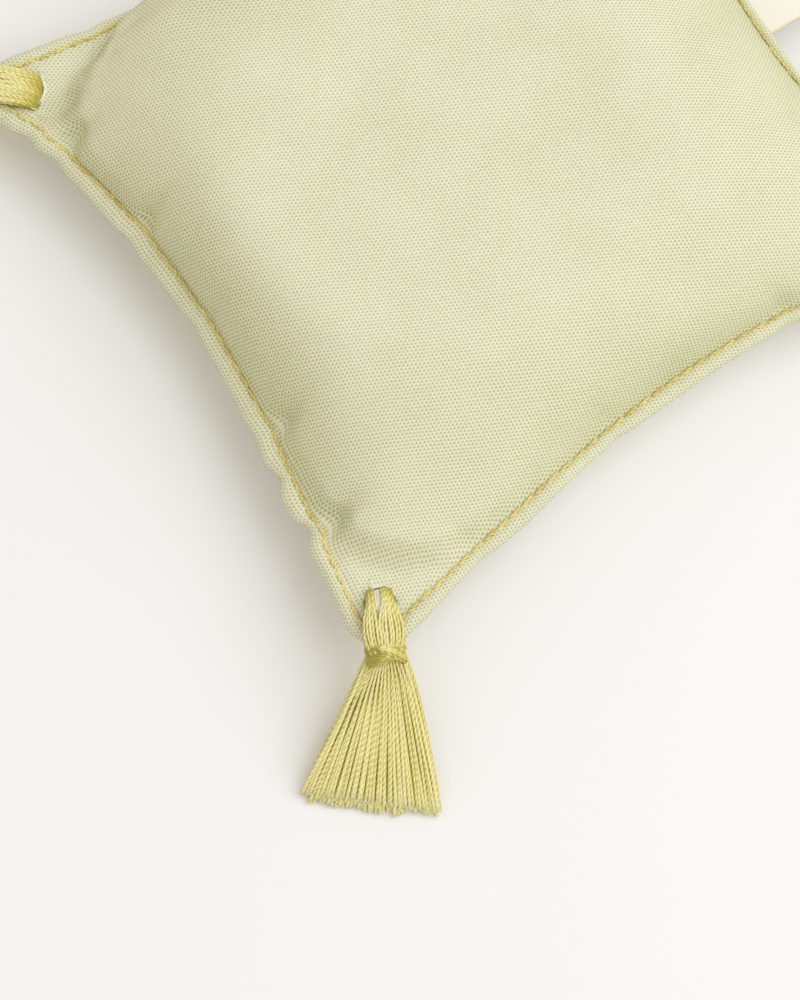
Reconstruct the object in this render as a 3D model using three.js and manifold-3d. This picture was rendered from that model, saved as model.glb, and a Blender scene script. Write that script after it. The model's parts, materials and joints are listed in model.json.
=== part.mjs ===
// A square lavender sachet: two cloth panels with turned-in, topstitched edges, wadding and dried
// lavender inside, a folded label in one seam, and a yarn tassel looped through each corner.
// Millimetres, +Z up, origin under the middle of the cushion on the surface that it lies on.
import * as THREE from "three";
import { mergeVertices } from "three/addons/utils/BufferGeometryUtils.js";
import Module from "manifold-3d";

const wasm = await Module();
wasm.setup();

// Fit
const GAP = 0.3; // clearance between pieces that touch
const FILL_GAP = 0.7; // slack between the filling and the cloth round it

// Cushion outline
const HOLE_SPAN_X = 93; // between tassel holes along X
const HOLE_SPAN_Y = 88; // between tassel holes along Y
const CORNER_RADIUS = 5.4; // round corner, struck from its tassel hole
const SIDE_HANDLE = 0.38; // share of a side over which its end directions carry
const LEFT_FLARES = [19, 9.5]; // degrees that a side turns inwards at its two ends
const FRONT_FLARES = [9, 20];
const RIGHT_FLARES = [25, 5.5];
const BACK_FLARES = [14, 10];

// Cushion height
const SEAM_HEIGHT = 9.5; // seam plane above the surface it lies on
const CROWN_RISE = 13; // front panel's dome above its flange
const BELLY_DROP = 12; // back panel's dome below its flange, before the surface flattens it
const CROWN_POWER = 3.5; // how flat the middle of a dome is
const ROUND_POWER = 4; // how square a dome is over its middle
const ROUND_UNTIL = 0.4; // share of the way out where a dome starts to follow the edge
const EAR_RISE = 16; // distance over which a dome rises behind a corner hole

// Cloth and its turned-in edge
const CLOTH = 0.35;
const FOLD_GAP = 0.3; // air inside the turned-in fold
const FLANGE = 2.2; // edge to topstitching
const CORNER_ROOM = 0.4; // least radius left at the turned-in corner

// Sewing threads
const THREAD_RADIUS = 0.2;
const STITCH_DIP = 0.6; // share of the thread's radius left where a stitch enters the cloth
const STITCH_LENGTH = 2.4;
const SEAM_THREAD_RADIUS = 0.11;
const SEAM_THREAD_INSET = 0.05;

// Filling
const FILL_POWER = 3; // roundness of the filling's corners
const POCKET_WIDTH = 48; // bud pocket between the two layers of wadding
const POCKET_HEIGHT = 11;

// Label
const LABEL_WIDTH = 18;
const LABEL_REACH = 14; // out of the seam
const LABEL_HELD = 4; // caught in the seam
const LABEL_TAPE = 0.22;
const LABEL_SLIT = 0.16; // air between its two layers
const LABEL_PLACE = 0.53; // share of the way along the right side
const LABEL_FADE = 12; // length over which the seam closes again beside the label
const LABEL_SPREAD_POWER = 8; // how fast the cloth settles again inside the label's seam

// Tassels
const LOOP_WIDTH = 4.4;
const LOOP_THICKNESS = 1.3;
const LOOP_RIBS = 4; // yarns that show across the loop
const LOOP_RIB_DEPTH = 0.18;
const LOOP_NECK_SHARE = 0.78; // width of the loop's legs where they enter the neck
const LOOP_NARROW_FROM = 0.6; // share of a leg after which it narrows
const NECK_WIDTH = 4;
const NECK_HEIGHT = 3;
const TIE_RADIUS = 0.35; // tie thread
const TIE_PITCH = 1.15;
const TIE_TURNS = 2.25;
const SKIRT_HEAD = 1.7; // radius of the skirt's rounded head
const SKIRT_HEAD_WIDTH = 4.6;
const SKIRT_LENGTH = 15;
const SKIRT_WIDTH = 19;
const SKIRT_DEPTH = 4.6;
const SKIRT_RAGGED = 1.4; // difference between the longest and the shortest yarn
const RAGGED_LENGTHS = 5; // different yarn lengths
const RAGGED_STEP = 7; // order in which they follow round a ring
const YARN_RADIUS = 0.36;
const YARN_NECK_RADIUS = 0.13;
const YARN_RINGS = [[1, 28], [0.6, 16], [0.22, 6]]; // share of the skirt's section, yarns in the ring
const FRONT_LEFT_SWAY = 9; // degrees that each tassel lies off its corner's diagonal
const FRONT_RIGHT_SWAY = -4;
const BACK_RIGHT_SWAY = 9;
const BACK_LEFT_SWAY = -4;
const TOUCH_DOWN = 0.3; // skirt's end above the surface

// Facets
const SIDE_STEPS = 8;
const CORNER_STEPS = 3;
const FINE_SIDE_STEPS = 60;
const FINE_CORNER_STEPS = 12;
const DOME_RINGS = 6;
const FILL_STEPS = 24;
const FILL_RINGS = 5;
const THREAD_CORNERS = [90, 210, 330]; // degrees round a three-sided thread or yarn
const HOLE_STEPS = 16;
const LOOP_STEPS = 11;
const NECK_STEPS = 16;
const TIE_STEPS = 18;
const TIE_SIDES = 5;
const LABEL_FOLD_STEPS = 4;

// Sizes that follow
const FLANGE_TOP = GAP / 2 + 2 * CLOTH + FOLD_GAP; // outer face of the flange from the seam plane
const FOLD_RADIUS = (FLANGE_TOP - GAP / 2) / 2;
const TURN_IN = CORNER_RADIUS - CORNER_ROOM;
const FOOT_INSET = FLANGE + THREAD_RADIUS + GAP; // edge to the foot of a dome
const LABEL_THICKNESS = 2 * LABEL_TAPE + LABEL_SLIT;
const LABEL_SPREAD = (LABEL_THICKNESS + GAP) / 2; // how far each flange gives way to the label
const HOLE_RADIUS = Math.hypot(LOOP_WIDTH, LOOP_THICKNESS) / 2 + GAP;
const EAR_FLAT = HOLE_RADIUS + GAP;
const LEG_HEIGHT = FLANGE_TOP + GAP + 2 * THREAD_RADIUS + GAP + LOOP_THICKNESS / 2;
const NECK_START = CORNER_RADIUS + LOOP_THICKNESS + GAP;
const TIE_LENGTH = TIE_TURNS * TIE_PITCH + 2 * TIE_RADIUS;
const NECK_LENGTH = TIE_LENGTH + 2 * GAP;
const SKIRT_PIVOT = NECK_START + NECK_LENGTH + GAP + SKIRT_HEAD;
const SKIRT_DROOP =
  Math.asin((SEAM_HEIGHT - TOUCH_DOWN) / Math.hypot(SKIRT_LENGTH, SKIRT_DEPTH / 2)) -
  Math.atan2(SKIRT_DEPTH / 2, SKIRT_LENGTH);

const CLOTH_LOOK = { color: 0xe2e0bf, roughness: 0.9, metalness: 0 };
const WADDING_LOOK = { color: 0xf3f1ea, roughness: 1, metalness: 0 };
const BUDS_LOOK = { color: 0x77708c, roughness: 0.95, metalness: 0 };
const GOLD_THREAD_LOOK = { color: 0xd9ac4a, roughness: 0.6, metalness: 0 };
const SEAM_THREAD_LOOK = { color: 0xd8d6b4, roughness: 0.7, metalness: 0 };
const LABEL_LOOK = { color: 0xf6ecdf, roughness: 0.8, metalness: 0 };
const YARN_LOOK = { color: 0xddcf8b, roughness: 0.85, metalness: 0 };

// Corners and sides run anticlockwise seen from above, from the back left corner.
const CORNERS = [
  { name: "back_left", x: -1, y: 1, sway: BACK_LEFT_SWAY },
  { name: "front_left", x: -1, y: -1, sway: FRONT_LEFT_SWAY },
  { name: "front_right", x: 1, y: -1, sway: FRONT_RIGHT_SWAY },
  { name: "back_right", x: 1, y: 1, sway: BACK_RIGHT_SWAY },
];
for (const corner of CORNERS) {
  corner.hole = new THREE.Vector2((corner.x * HOLE_SPAN_X) / 2, (corner.y * HOLE_SPAN_Y) / 2);
}
const SIDE_FLARES = [LEFT_FLARES, FRONT_FLARES, RIGHT_FLARES, BACK_FLARES];
const SIDE_HEADINGS = [-90, 0, 90, 180];
const RIGHT_SIDE = 2;
const ORIGIN = new THREE.Vector2(0, 0);

// Geometry helpers

// Joins equal sections into one closed surface; an open run of sections gets a fan at each end.
function loft(sections, closed = false) {
  const count = sections[0].length;
  const points = sections.flat();
  const triangles = [];
  const runs = closed ? sections.length : sections.length - 1;
  for (let s = 0; s < runs; s++) {
    const next = ((s + 1) % sections.length) * count;
    for (let i = 0; i < count; i++) {
      const j = (i + 1) % count;
      triangles.push(...splitQuad(points, [s * count + i, s * count + j, next + j, next + i]));
    }
  }
  if (!closed) {
    const last = (sections.length - 1) * count;
    const firstCentre = points.push(centreOf(sections[0])) - 1;
    const lastCentre = points.push(centreOf(sections.at(-1))) - 1;
    for (let i = 0; i < count; i++) {
      const j = (i + 1) % count;
      triangles.push([firstCentre, j, i], [lastCentre, last + i, last + j]);
    }
  }
  return facingOut(points, triangles);
}

// Two triangles for a four-cornered facet, parted along its shorter diagonal.
function splitQuad(points, [a, b, c, d]) {
  const across = points[a].distanceTo(points[c]) <= points[b].distanceTo(points[d]);
  return across ? [[a, b, c], [a, c, d]] : [[a, b, d], [b, c, d]];
}

function centreOf(section) {
  const sum = new THREE.Vector3();
  section.forEach((point) => sum.add(point));
  return sum.divideScalar(section.length);
}

function facingOut(points, triangles) {
  let volume = 0;
  const normal = new THREE.Vector3();
  for (const [a, b, c] of triangles) {
    volume += points[a].dot(normal.crossVectors(points[b], points[c]));
  }
  if (volume < 0) triangles.forEach((triangle) => triangle.reverse());
  const geometry = new THREE.BufferGeometry();
  geometry.setAttribute(
    "position",
    new THREE.Float32BufferAttribute(points.flatMap((point) => point.toArray()), 3),
  );
  geometry.setIndex(triangles.flat());
  return geometry;
}

function toSolid(geometry) {
  const bare = geometry.clone();
  bare.deleteAttribute("normal");
  bare.deleteAttribute("uv");
  const merged = mergeVertices(bare);
  const mesh = new wasm.Mesh({
    numProp: 3,
    vertProperties: new Float32Array(merged.attributes.position.array),
    triVerts: new Uint32Array(merged.index.array),
  });
  return new wasm.Manifold(mesh);
}

function toGeometry(solid) {
  const mesh = solid.getMesh();
  const geometry = new THREE.BufferGeometry();
  geometry.setAttribute("position", new THREE.BufferAttribute(mesh.vertProperties, 3));
  geometry.setIndex(new THREE.BufferAttribute(mesh.triVerts, 1));
  return geometry;
}

function named(name, geometry, look) {
  geometry.computeVertexNormals();
  const mesh = new THREE.Mesh(geometry, new THREE.MeshStandardMaterial(look));
  mesh.name = name;
  return mesh;
}

const headingVector = (degrees) =>
  new THREE.Vector2(1, 0).rotateAround(ORIGIN, THREE.MathUtils.degToRad(degrees));

// Outline

// One drawn-in side, tangent to the corner rounds at both ends.
function sideCurve(side) {
  const [startFlare, endFlare] = SIDE_FLARES[side];
  const startHeading = SIDE_HEADINGS[side] + startFlare;
  const endHeading = SIDE_HEADINGS[side] - endFlare;
  const start = headingVector(startHeading - 90).multiplyScalar(CORNER_RADIUS).add(CORNERS[side].hole);
  const end = headingVector(endHeading - 90)
    .multiplyScalar(CORNER_RADIUS)
    .add(CORNERS[(side + 1) % CORNERS.length].hole);
  const handle = start.distanceTo(end) * SIDE_HANDLE;
  const leave = headingVector(startHeading).multiplyScalar(handle).add(start);
  const arrive = headingVector(endHeading).multiplyScalar(-handle).add(end);
  return new THREE.CubicBezierCurve(start, leave, arrive, end);
}

const SIDES = SIDE_HEADINGS.map((heading, side) => sideCurve(side));
const LABEL_EDGE = SIDES[RIGHT_SIDE].getPoint(LABEL_PLACE);
const LABEL_HEADING = SIDES[RIGHT_SIDE].getTangent(LABEL_PLACE).angle();

// How open the seam stands at a point of the right side: 1 at the label, 0 clear of it.
function seamOpening(point) {
  const station = SIDES[RIGHT_SIDE].getLength() / SIDE_STEPS;
  const past = point.distanceTo(LABEL_EDGE) - LABEL_WIDTH / 2 - station;
  return THREE.MathUtils.clamp(1 - past / LABEL_FADE, 0, 1);
}

// How much sooner a dome falls off towards a corner than towards the middle of a side.
const roundingAt = (offCentre) => (1 + offCentre ** ROUND_POWER) ** (1 / ROUND_POWER);

// Points along the whole edge, each with its inward direction.
function outline(sideSteps, cornerSteps) {
  const stations = [];
  SIDES.forEach((curve, side) => {
    for (let step = 0; step <= sideSteps; step++) {
      const point = curve.getPoint(step / sideSteps);
      const inward = curve.getTangent(step / sideSteps).rotateAround(ORIGIN, Math.PI / 2);
      const rounding = roundingAt(Math.abs((2 * step) / sideSteps - 1));
      stations.push({ point, inward, rounding, opening: side === RIGHT_SIDE ? seamOpening(point) : 0 });
    }
    const next = (side + 1) % SIDES.length;
    const from = SIDE_HEADINGS[side] - SIDE_FLARES[side][1];
    const turn = 90 + SIDE_FLARES[side][1] + SIDE_FLARES[next][0];
    for (let step = 1; step < cornerSteps; step++) {
      const outward = headingVector(from - 90 + (turn * step) / cornerSteps);
      const point = outward.clone().multiplyScalar(CORNER_RADIUS).add(CORNERS[next].hole);
      stations.push({ point, inward: outward.negate(), rounding: roundingAt(1), opening: 0 });
    }
  });
  return stations;
}

const EDGE = outline(SIDE_STEPS, CORNER_STEPS);
const FINE_EDGE = outline(FINE_SIDE_STEPS, FINE_CORNER_STEPS);

const ringAt = (edge, inset) =>
  edge.map(({ point, inward }) => inward.clone().multiplyScalar(inset).add(point));

// Height of a dome over its flange at a share of the way out to one station of the edge. The dome is rounded
// over its middle, follows the edge at its foot and lies flat round the corner holes.
function domeHeight(share, station, point, rise) {
  const rounding = THREE.MathUtils.lerp(station.rounding, 1, THREE.MathUtils.smoothstep(share, ROUND_UNTIL, 1));
  const nearest = Math.min(...CORNERS.map(({ hole }) => hole.distanceTo(point)));
  const fade = THREE.MathUtils.smoothstep(nearest, EAR_FLAT, EAR_FLAT + EAR_RISE);
  return rise * fade * Math.sqrt(Math.max(0, 1 - (share * rounding) ** CROWN_POWER));
}

// Cloth panels

// A ring of the cushion at the given heights from the seam plane, spread where the label holds the seam open.
// side is 1 for the front and -1 for the back, which lies flat on the floor.
function lift(side, ring, heights, share, floor) {
  return ring.map((point, i) => {
    const spread = LABEL_SPREAD * EDGE[i].opening * share ** LABEL_SPREAD_POWER;
    const z = SEAM_HEIGHT + side * (heights[i] + spread);
    return new THREE.Vector3(point.x, point.y, side > 0 ? z : Math.max(z, floor));
  });
}

const level = (side, inset, height) => lift(side, ringAt(EDGE, inset), EDGE.map(() => height), 1, 0);

// Rings of a dome from its middle out to its foot.
function dome(side, rise, inset, base, rings, floor) {
  const foot = ringAt(EDGE, inset);
  return Array.from({ length: rings }, (_, i) => {
    const share = Math.sin(((i + 1) / rings) * (Math.PI / 2));
    const ring = foot.map((point) => point.clone().multiplyScalar(share));
    const heights = ring.map((point, k) => base + domeHeight(share, EDGE[k], point, rise));
    return lift(side, ring, heights, share, floor);
  });
}

// One panel: dome, flange, rounded fold and turned-in edge, with a hole punched in each corner.
function panel(side, rise) {
  const middle = (FLANGE_TOP + GAP / 2) / 2;
  const skin = loft([
    ...dome(side, rise, FOOT_INSET, FLANGE_TOP, DOME_RINGS, 0),
    level(side, FOLD_RADIUS, FLANGE_TOP),
    level(side, 0, middle),
    level(side, FOLD_RADIUS, GAP / 2),
    level(side, TURN_IN, GAP / 2),
    level(side, TURN_IN, GAP / 2 + CLOTH),
    level(side, FOLD_RADIUS, GAP / 2 + CLOTH),
    level(side, CLOTH, middle),
    level(side, FOLD_RADIUS, FLANGE_TOP - CLOTH),
    ...dome(side, rise, FOOT_INSET + CLOTH, FLANGE_TOP - CLOTH, DOME_RINGS, CLOTH).reverse(),
  ]);
  let solid = toSolid(skin);
  for (const { hole } of CORNERS) {
    const punch = new THREE.CylinderGeometry(HOLE_RADIUS, HOLE_RADIUS, 4 * SEAM_HEIGHT, HOLE_STEPS);
    punch.rotateX(Math.PI / 2).translate(hole.x, hole.y, SEAM_HEIGHT);
    solid = solid.subtract(toSolid(punch));
  }
  return toGeometry(solid);
}

// Filling

// How far the filling reaches from the middle towards one side, clear of the turned-in edge.
function fillReach(side) {
  const across = SIDE_HEADINGS[side] % 180 === 0 ? "y" : "x";
  const nearest = Math.min(...SIDES[side].getPoints(FINE_SIDE_STEPS).map((point) => Math.abs(point[across])));
  return nearest - TURN_IN - FILL_GAP;
}

// Upright block with the filling's rounded plan.
function fillBlock(depth) {
  const [left, front, right, back] = SIDES.map((curve, side) => fillReach(side));
  const plan = Array.from({ length: FILL_STEPS }, (_, i) => {
    const heading = headingVector((360 * i) / FILL_STEPS);
    const size = (Math.abs(heading.x) ** FILL_POWER + Math.abs(heading.y) ** FILL_POWER) ** (-1 / FILL_POWER);
    return heading.multiplyScalar(size).multiply(
      new THREE.Vector2(heading.x > 0 ? right : left, heading.y > 0 ? back : front));
  });
  return new THREE.ExtrudeGeometry(new THREE.Shape(plan), { depth, bevelEnabled: false });
}

const pocket = (clearance) =>
  new THREE.SphereGeometry(1, FILL_STEPS, FILL_RINGS * 2)
    .rotateX(Math.PI / 2)
    .scale(POCKET_WIDTH / 2 - clearance, POCKET_WIDTH / 2 - clearance, POCKET_HEIGHT / 2 - clearance)
    .translate(0, 0, SEAM_HEIGHT);

// One layer of wadding: domed under its panel and hollowed for half of the bud pocket.
function wadding(side, rise) {
  const inset = FOOT_INSET + CLOTH + FILL_GAP;
  const base = FLANGE_TOP - CLOTH - FILL_GAP;
  const under = loft([
    ...dome(side, rise, inset, base, DOME_RINGS, CLOTH + FILL_GAP),
    level(side, inset, -SEAM_HEIGHT / 2),
  ]);
  const depth = SEAM_HEIGHT + rise;
  const block = fillBlock(depth).translate(0, 0, SEAM_HEIGHT + (side * (depth + GAP)) / 2 - depth / 2);
  return toGeometry(toSolid(under).intersect(toSolid(block)).subtract(toSolid(pocket(0))));
}

// Sewing threads

// Three-sided tube through the given stations, each with its centre, cross direction and radius.
function threadTube(stations, closed) {
  return loft(stations.map(({ centre, across, radius }) =>
    THREAD_CORNERS.map((degrees) => {
      const spoke = headingVector(degrees).multiplyScalar(radius);
      const offset = new THREE.Vector3(across.x * spoke.x, across.y * spoke.x, spoke.y);
      return offset.add(centre);
    })), closed);
}

// Topstitching on one face: full between the needle holes and thin where it dips into them.
function topstitching(side) {
  const ring = ringAt(FINE_EDGE, FLANGE);
  const lengths = ring.map((point, i) => point.distanceTo(ring[(i + 1) % ring.length]));
  const total = lengths.reduce((sum, length) => sum + length, 0);
  const halves = 2 * Math.round(total / STITCH_LENGTH);
  const stations = [];
  let i = 0;
  let passed = 0;
  for (let half = 0; half < halves; half++) {
    const target = (total * half) / halves;
    while (passed + lengths[i] < target) passed += lengths[i++];
    const part = (target - passed) / lengths[i];
    const next = (i + 1) % ring.length;
    const point = ring[i].clone().lerp(ring[next], part);
    const opening = THREE.MathUtils.lerp(FINE_EDGE[i].opening, FINE_EDGE[next].opening, part);
    const radius = THREAD_RADIUS * (half % 2 ? 1 : STITCH_DIP);
    const rise = FLANGE_TOP + LABEL_SPREAD * opening + GAP + radius;
    const centre = new THREE.Vector3(point.x, point.y, SEAM_HEIGHT + side * rise);
    stations.push({ centre, across: FINE_EDGE[i].inward, radius });
  }
  return threadTube(stations, true);
}

// The closing seam's thread, in the groove between the two folds, from one end of the label round to the other.
function closingSeam() {
  const ring = ringAt(EDGE, SEAM_THREAD_INSET);
  const reach = LABEL_WIDTH / 2 + GAP + SEAM_THREAD_RADIUS;
  const away = ring.map((point) => point.distanceTo(LABEL_EDGE));
  const first = away.findIndex((distance, i) => distance > reach && away.at(i - 1) <= reach);
  const order = Array.from({ length: EDGE.length }, (_, i) => (first + i) % EDGE.length);
  const run = order.filter((i) => away[i] > reach);
  const station = (point, i) => ({
    centre: new THREE.Vector3(point.x, point.y, SEAM_HEIGHT),
    across: EDGE[i].inward,
    radius: SEAM_THREAD_RADIUS,
  });
  const labelEnd = (outside, inside) => {
    const part = (reach - away[outside]) / (away[inside] - away[outside]);
    return station(ring[outside].clone().lerp(ring[inside], part), outside);
  };
  return threadTube([
    labelEnd(run[0], order.at(-1)),
    ...run.map((i) => station(ring[i], i)),
    labelEnd(run.at(-1), (run.at(-1) + 1) % EDGE.length),
  ], false);
}

// Label

// A tape folded in two: its fold lies out of the seam and its two ends are caught inside.
function label() {
  const half = LABEL_THICKNESS / 2;
  const slit = LABEL_SLIT / 2;
  const profile = new THREE.Shape();
  profile.moveTo(-LABEL_HELD, -half);
  profile.lineTo(LABEL_REACH - half, -half);
  profile.absarc(LABEL_REACH - half, 0, half, -Math.PI / 2, Math.PI / 2, false);
  profile.lineTo(-LABEL_HELD, half);
  profile.lineTo(-LABEL_HELD, slit);
  profile.lineTo(LABEL_REACH - half, slit);
  profile.lineTo(LABEL_REACH - half, -slit);
  profile.lineTo(-LABEL_HELD, -slit);
  profile.closePath();
  const settings = { depth: LABEL_WIDTH, bevelEnabled: false, curveSegments: LABEL_FOLD_STEPS };
  const tape = new THREE.ExtrudeGeometry(profile, settings);
  return tape.rotateX(Math.PI / 2).translate(0, LABEL_WIDTH / 2, 0);
}

// Tassels, each built from its hole outwards along +X with the seam plane at zero

// The loop: a flat band of yarns up through the hole, over and under the corner, and into the neck.
function tasselLoop() {
  const leg = (side) => [
    new THREE.Vector3(NECK_START + GAP, 0, (side * NECK_HEIGHT) / 4),
    new THREE.Vector3(CORNER_RADIUS - GAP, 0, side * LEG_HEIGHT),
    new THREE.Vector3(HOLE_RADIUS, 0, side * LEG_HEIGHT),
    new THREE.Vector3(GAP, 0, (side * LEG_HEIGHT) / 2),
  ];
  const path = new THREE.CatmullRomCurve3(
    [...leg(1), new THREE.Vector3(0, 0, 0), ...leg(-1).reverse()], false, "centripetal");
  const across = new THREE.Vector3(0, 1, 0);
  const sections = Array.from({ length: LOOP_STEPS }, (_, step) => {
    const along = step / (LOOP_STEPS - 1);
    const centre = path.getPointAt(along);
    const up = across.clone().cross(path.getTangentAt(along));
    const narrow = THREE.MathUtils.smoothstep(Math.abs(2 * along - 1), LOOP_NARROW_FROM, 1);
    const width = LOOP_WIDTH * THREE.MathUtils.lerp(1, LOOP_NECK_SHARE, narrow);
    const edge = (side) => Array.from({ length: 2 * LOOP_RIBS + 1 }, (_, i) => {
      const rise = side * (LOOP_THICKNESS / 2 - (i % 2 ? 0 : LOOP_RIB_DEPTH));
      const place = side * width * (i / (2 * LOOP_RIBS) - 0.5);
      return centre.clone().addScaledVector(across, place).addScaledVector(up, rise);
    });
    return [...edge(1), ...edge(-1)];
  });
  const neck = new THREE.CylinderGeometry(1, 1, NECK_LENGTH, NECK_STEPS);
  neck.rotateZ(Math.PI / 2).scale(1, NECK_WIDTH / 2, NECK_HEIGHT / 2);
  neck.translate(NECK_START + NECK_LENGTH / 2, 0, 0);
  return toGeometry(toSolid(loft(sections)).add(toSolid(neck)));
}

// The tie: one thread wound round the neck, its two ends laid straight.
function tasselTie() {
  const start = NECK_START + GAP + TIE_RADIUS;
  const steps = Math.round(TIE_TURNS * TIE_STEPS);
  const wide = NECK_WIDTH / 2 + GAP + TIE_RADIUS;
  const high = NECK_HEIGHT / 2 + GAP + TIE_RADIUS;
  const centres = Array.from({ length: steps + 1 }, (_, i) => {
    const angle = Math.PI / 2 + (2 * Math.PI * TIE_TURNS * i) / steps;
    const along = start + (TIE_PITCH * TIE_TURNS * i) / steps;
    return new THREE.Vector3(along, wide * Math.cos(angle), high * Math.sin(angle));
  });
  const straight = (end, inner) => end.clone().add(end.clone().sub(inner).setLength(2 * TIE_RADIUS));
  centres.unshift(straight(centres[0], centres[1]));
  centres.push(straight(centres.at(-1), centres.at(-2)));
  const forward = new THREE.Vector3(1, 0, 0);
  const sections = centres.map((centre, i) => {
    const before = centres[Math.max(i - 1, 0)];
    const after = centres[Math.min(i + 1, centres.length - 1)];
    const tangent = after.clone().sub(before).normalize();
    const side = forward.clone().addScaledVector(tangent, -tangent.x).normalize();
    const out = tangent.clone().cross(side);
    return Array.from({ length: TIE_SIDES }, (_, k) => {
      const spoke = headingVector((360 * k) / TIE_SIDES).multiplyScalar(TIE_RADIUS);
      return centre.clone().addScaledVector(side, spoke.x).addScaledVector(out, spoke.y);
    });
  });
  return { geometry: loft(sections), centres };
}

// Least clear distance between turns of a wound thread, measured between its centre points.
function leastTurnGap(centres) {
  let least = Infinity;
  const apart = Math.round(TIE_STEPS / 2);
  centres.forEach((centre, i) => {
    centres.slice(i + apart).forEach((other) => {
      least = Math.min(least, centre.distanceTo(other));
    });
  });
  return least - 2 * TIE_RADIUS;
}

// The skirt: yarns that spread from a rounded head, each a tapered three-sided strand.
function tasselSkirt() {
  const head = new THREE.CylinderGeometry(SKIRT_HEAD, SKIRT_HEAD, SKIRT_HEAD_WIDTH, NECK_STEPS);
  let solid = toSolid(head);
  for (const [share, count] of YARN_RINGS) {
    const ring = (width, height) => {
      const ellipse = new THREE.EllipseCurve(0, 0, (share * width) / 2, (share * height) / 2);
      return ellipse.getSpacedPoints(count).slice(0, -1);
    };
    const starts = ring(SKIRT_HEAD_WIDTH - 2 * YARN_RADIUS, 2 * (SKIRT_HEAD - YARN_RADIUS));
    const ends = ring(SKIRT_WIDTH - 2 * YARN_RADIUS, SKIRT_DEPTH - 2 * YARN_RADIUS);
    starts.forEach((start, i) => {
      const shortfall = (SKIRT_RAGGED * ((i * RAGGED_STEP) % RAGGED_LENGTHS)) / (RAGGED_LENGTHS - 1);
      const strand = (x, place, radius) =>
        THREAD_CORNERS.map((degrees) => {
          const spoke = headingVector(degrees).multiplyScalar(radius).add(place);
          return new THREE.Vector3(x, spoke.x, spoke.y);
        });
      const yarn = loft([
        strand(0, start, YARN_NECK_RADIUS),
        strand(SKIRT_LENGTH - shortfall, ends[i], YARN_RADIUS),
      ]);
      solid = solid.add(toSolid(yarn));
    });
  }
  return toGeometry(solid);
}

function tassel({ name, hole, x, y, sway }) {
  const group = new THREE.Group();
  group.position.set(hole.x, hole.y, SEAM_HEIGHT);
  group.rotation.z = Math.atan2(y, x) + THREE.MathUtils.degToRad(sway);
  const tie = tasselTie();
  const skirt = named(`tassel_skirt_${name}`, tasselSkirt(), YARN_LOOK);
  skirt.position.x = SKIRT_PIVOT;
  skirt.rotation.y = SKIRT_DROOP;
  group.add(named(`tassel_loop_${name}`, tasselLoop(), YARN_LOOK));
  group.add(named(`tassel_tie_${name}`, tie.geometry, YARN_LOOK));
  group.add(skirt);
  console.log(`tassel_tie_${name}: least gap between turns ${leastTurnGap(tie.centres).toFixed(2)} mm`);
  return group;
}

// Assembly
const sachet = new THREE.Group();
sachet.add(named("front_panel", panel(1, CROWN_RISE), CLOTH_LOOK));
sachet.add(named("back_panel", panel(-1, BELLY_DROP), CLOTH_LOOK));
sachet.add(named("front_wadding", wadding(1, CROWN_RISE), WADDING_LOOK));
sachet.add(named("back_wadding", wadding(-1, BELLY_DROP), WADDING_LOOK));
sachet.add(named("lavender_buds", pocket(GAP), BUDS_LOOK));
sachet.add(named("needle_thread", topstitching(1), GOLD_THREAD_LOOK));
sachet.add(named("bobbin_thread", topstitching(-1), GOLD_THREAD_LOOK));
sachet.add(named("closing_seam_thread", closingSeam(), SEAM_THREAD_LOOK));
const sideLabel = named("side_label", label(), LABEL_LOOK);
sideLabel.position.set(LABEL_EDGE.x, LABEL_EDGE.y, SEAM_HEIGHT);
sideLabel.rotation.z = LABEL_HEADING - Math.PI / 2;
sachet.add(sideLabel);
CORNERS.forEach((corner) => sachet.add(tassel(corner)));

export default sachet;
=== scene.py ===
import json
import math

import bpy
import numpy as np
from mathutils import Matrix, Vector


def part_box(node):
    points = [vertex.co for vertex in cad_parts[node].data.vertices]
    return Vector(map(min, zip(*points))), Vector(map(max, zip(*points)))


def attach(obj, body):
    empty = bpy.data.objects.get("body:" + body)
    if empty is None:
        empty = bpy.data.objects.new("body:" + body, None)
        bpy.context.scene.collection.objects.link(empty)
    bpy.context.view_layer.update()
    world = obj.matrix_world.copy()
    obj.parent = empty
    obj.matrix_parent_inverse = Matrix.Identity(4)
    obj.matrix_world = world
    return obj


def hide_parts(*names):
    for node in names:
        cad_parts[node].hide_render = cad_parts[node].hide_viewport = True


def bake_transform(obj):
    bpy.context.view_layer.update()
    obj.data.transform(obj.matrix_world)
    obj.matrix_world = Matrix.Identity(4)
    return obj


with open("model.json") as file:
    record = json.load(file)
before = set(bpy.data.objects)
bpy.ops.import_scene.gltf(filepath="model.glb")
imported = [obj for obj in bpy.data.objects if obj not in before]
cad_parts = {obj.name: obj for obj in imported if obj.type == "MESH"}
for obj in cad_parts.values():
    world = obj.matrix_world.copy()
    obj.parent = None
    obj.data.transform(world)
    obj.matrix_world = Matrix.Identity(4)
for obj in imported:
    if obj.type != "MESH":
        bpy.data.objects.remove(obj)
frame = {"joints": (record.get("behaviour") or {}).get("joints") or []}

bl_info = {
    "name": "Lavender sachet",
    "version": (1, 0, 0),
    "blender": (4, 5, 0),
    "location": "3D View > Sidebar > Sachet",
    "description": "A padded square sachet with topstitched edges, a folded label and four yarn tassels",
    "category": "Add Mesh",
}

MM = 0.001

# Corners and sides, anticlockwise from above; side i runs from corner i to the next one
CORNERS = ("back_left", "front_left", "front_right", "back_right")
# Heading of each side in degrees, and how far its two ends turn off it because its middle is drawn in
HEADINGS = (-90.0, 0.0, 90.0, 180.0)
FLARES = ((19.0, 9.5), (9.0, 20.0), (25.0, 5.5), (14.0, 10.0))
# Share of its drawing in that the cut of each side already has
EASED = (0.20, 0.35, 0.50, 0.0)
# Length of the handles of each side's curve, as a share of the side
SIDE_HANDLE = 0.38

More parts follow.
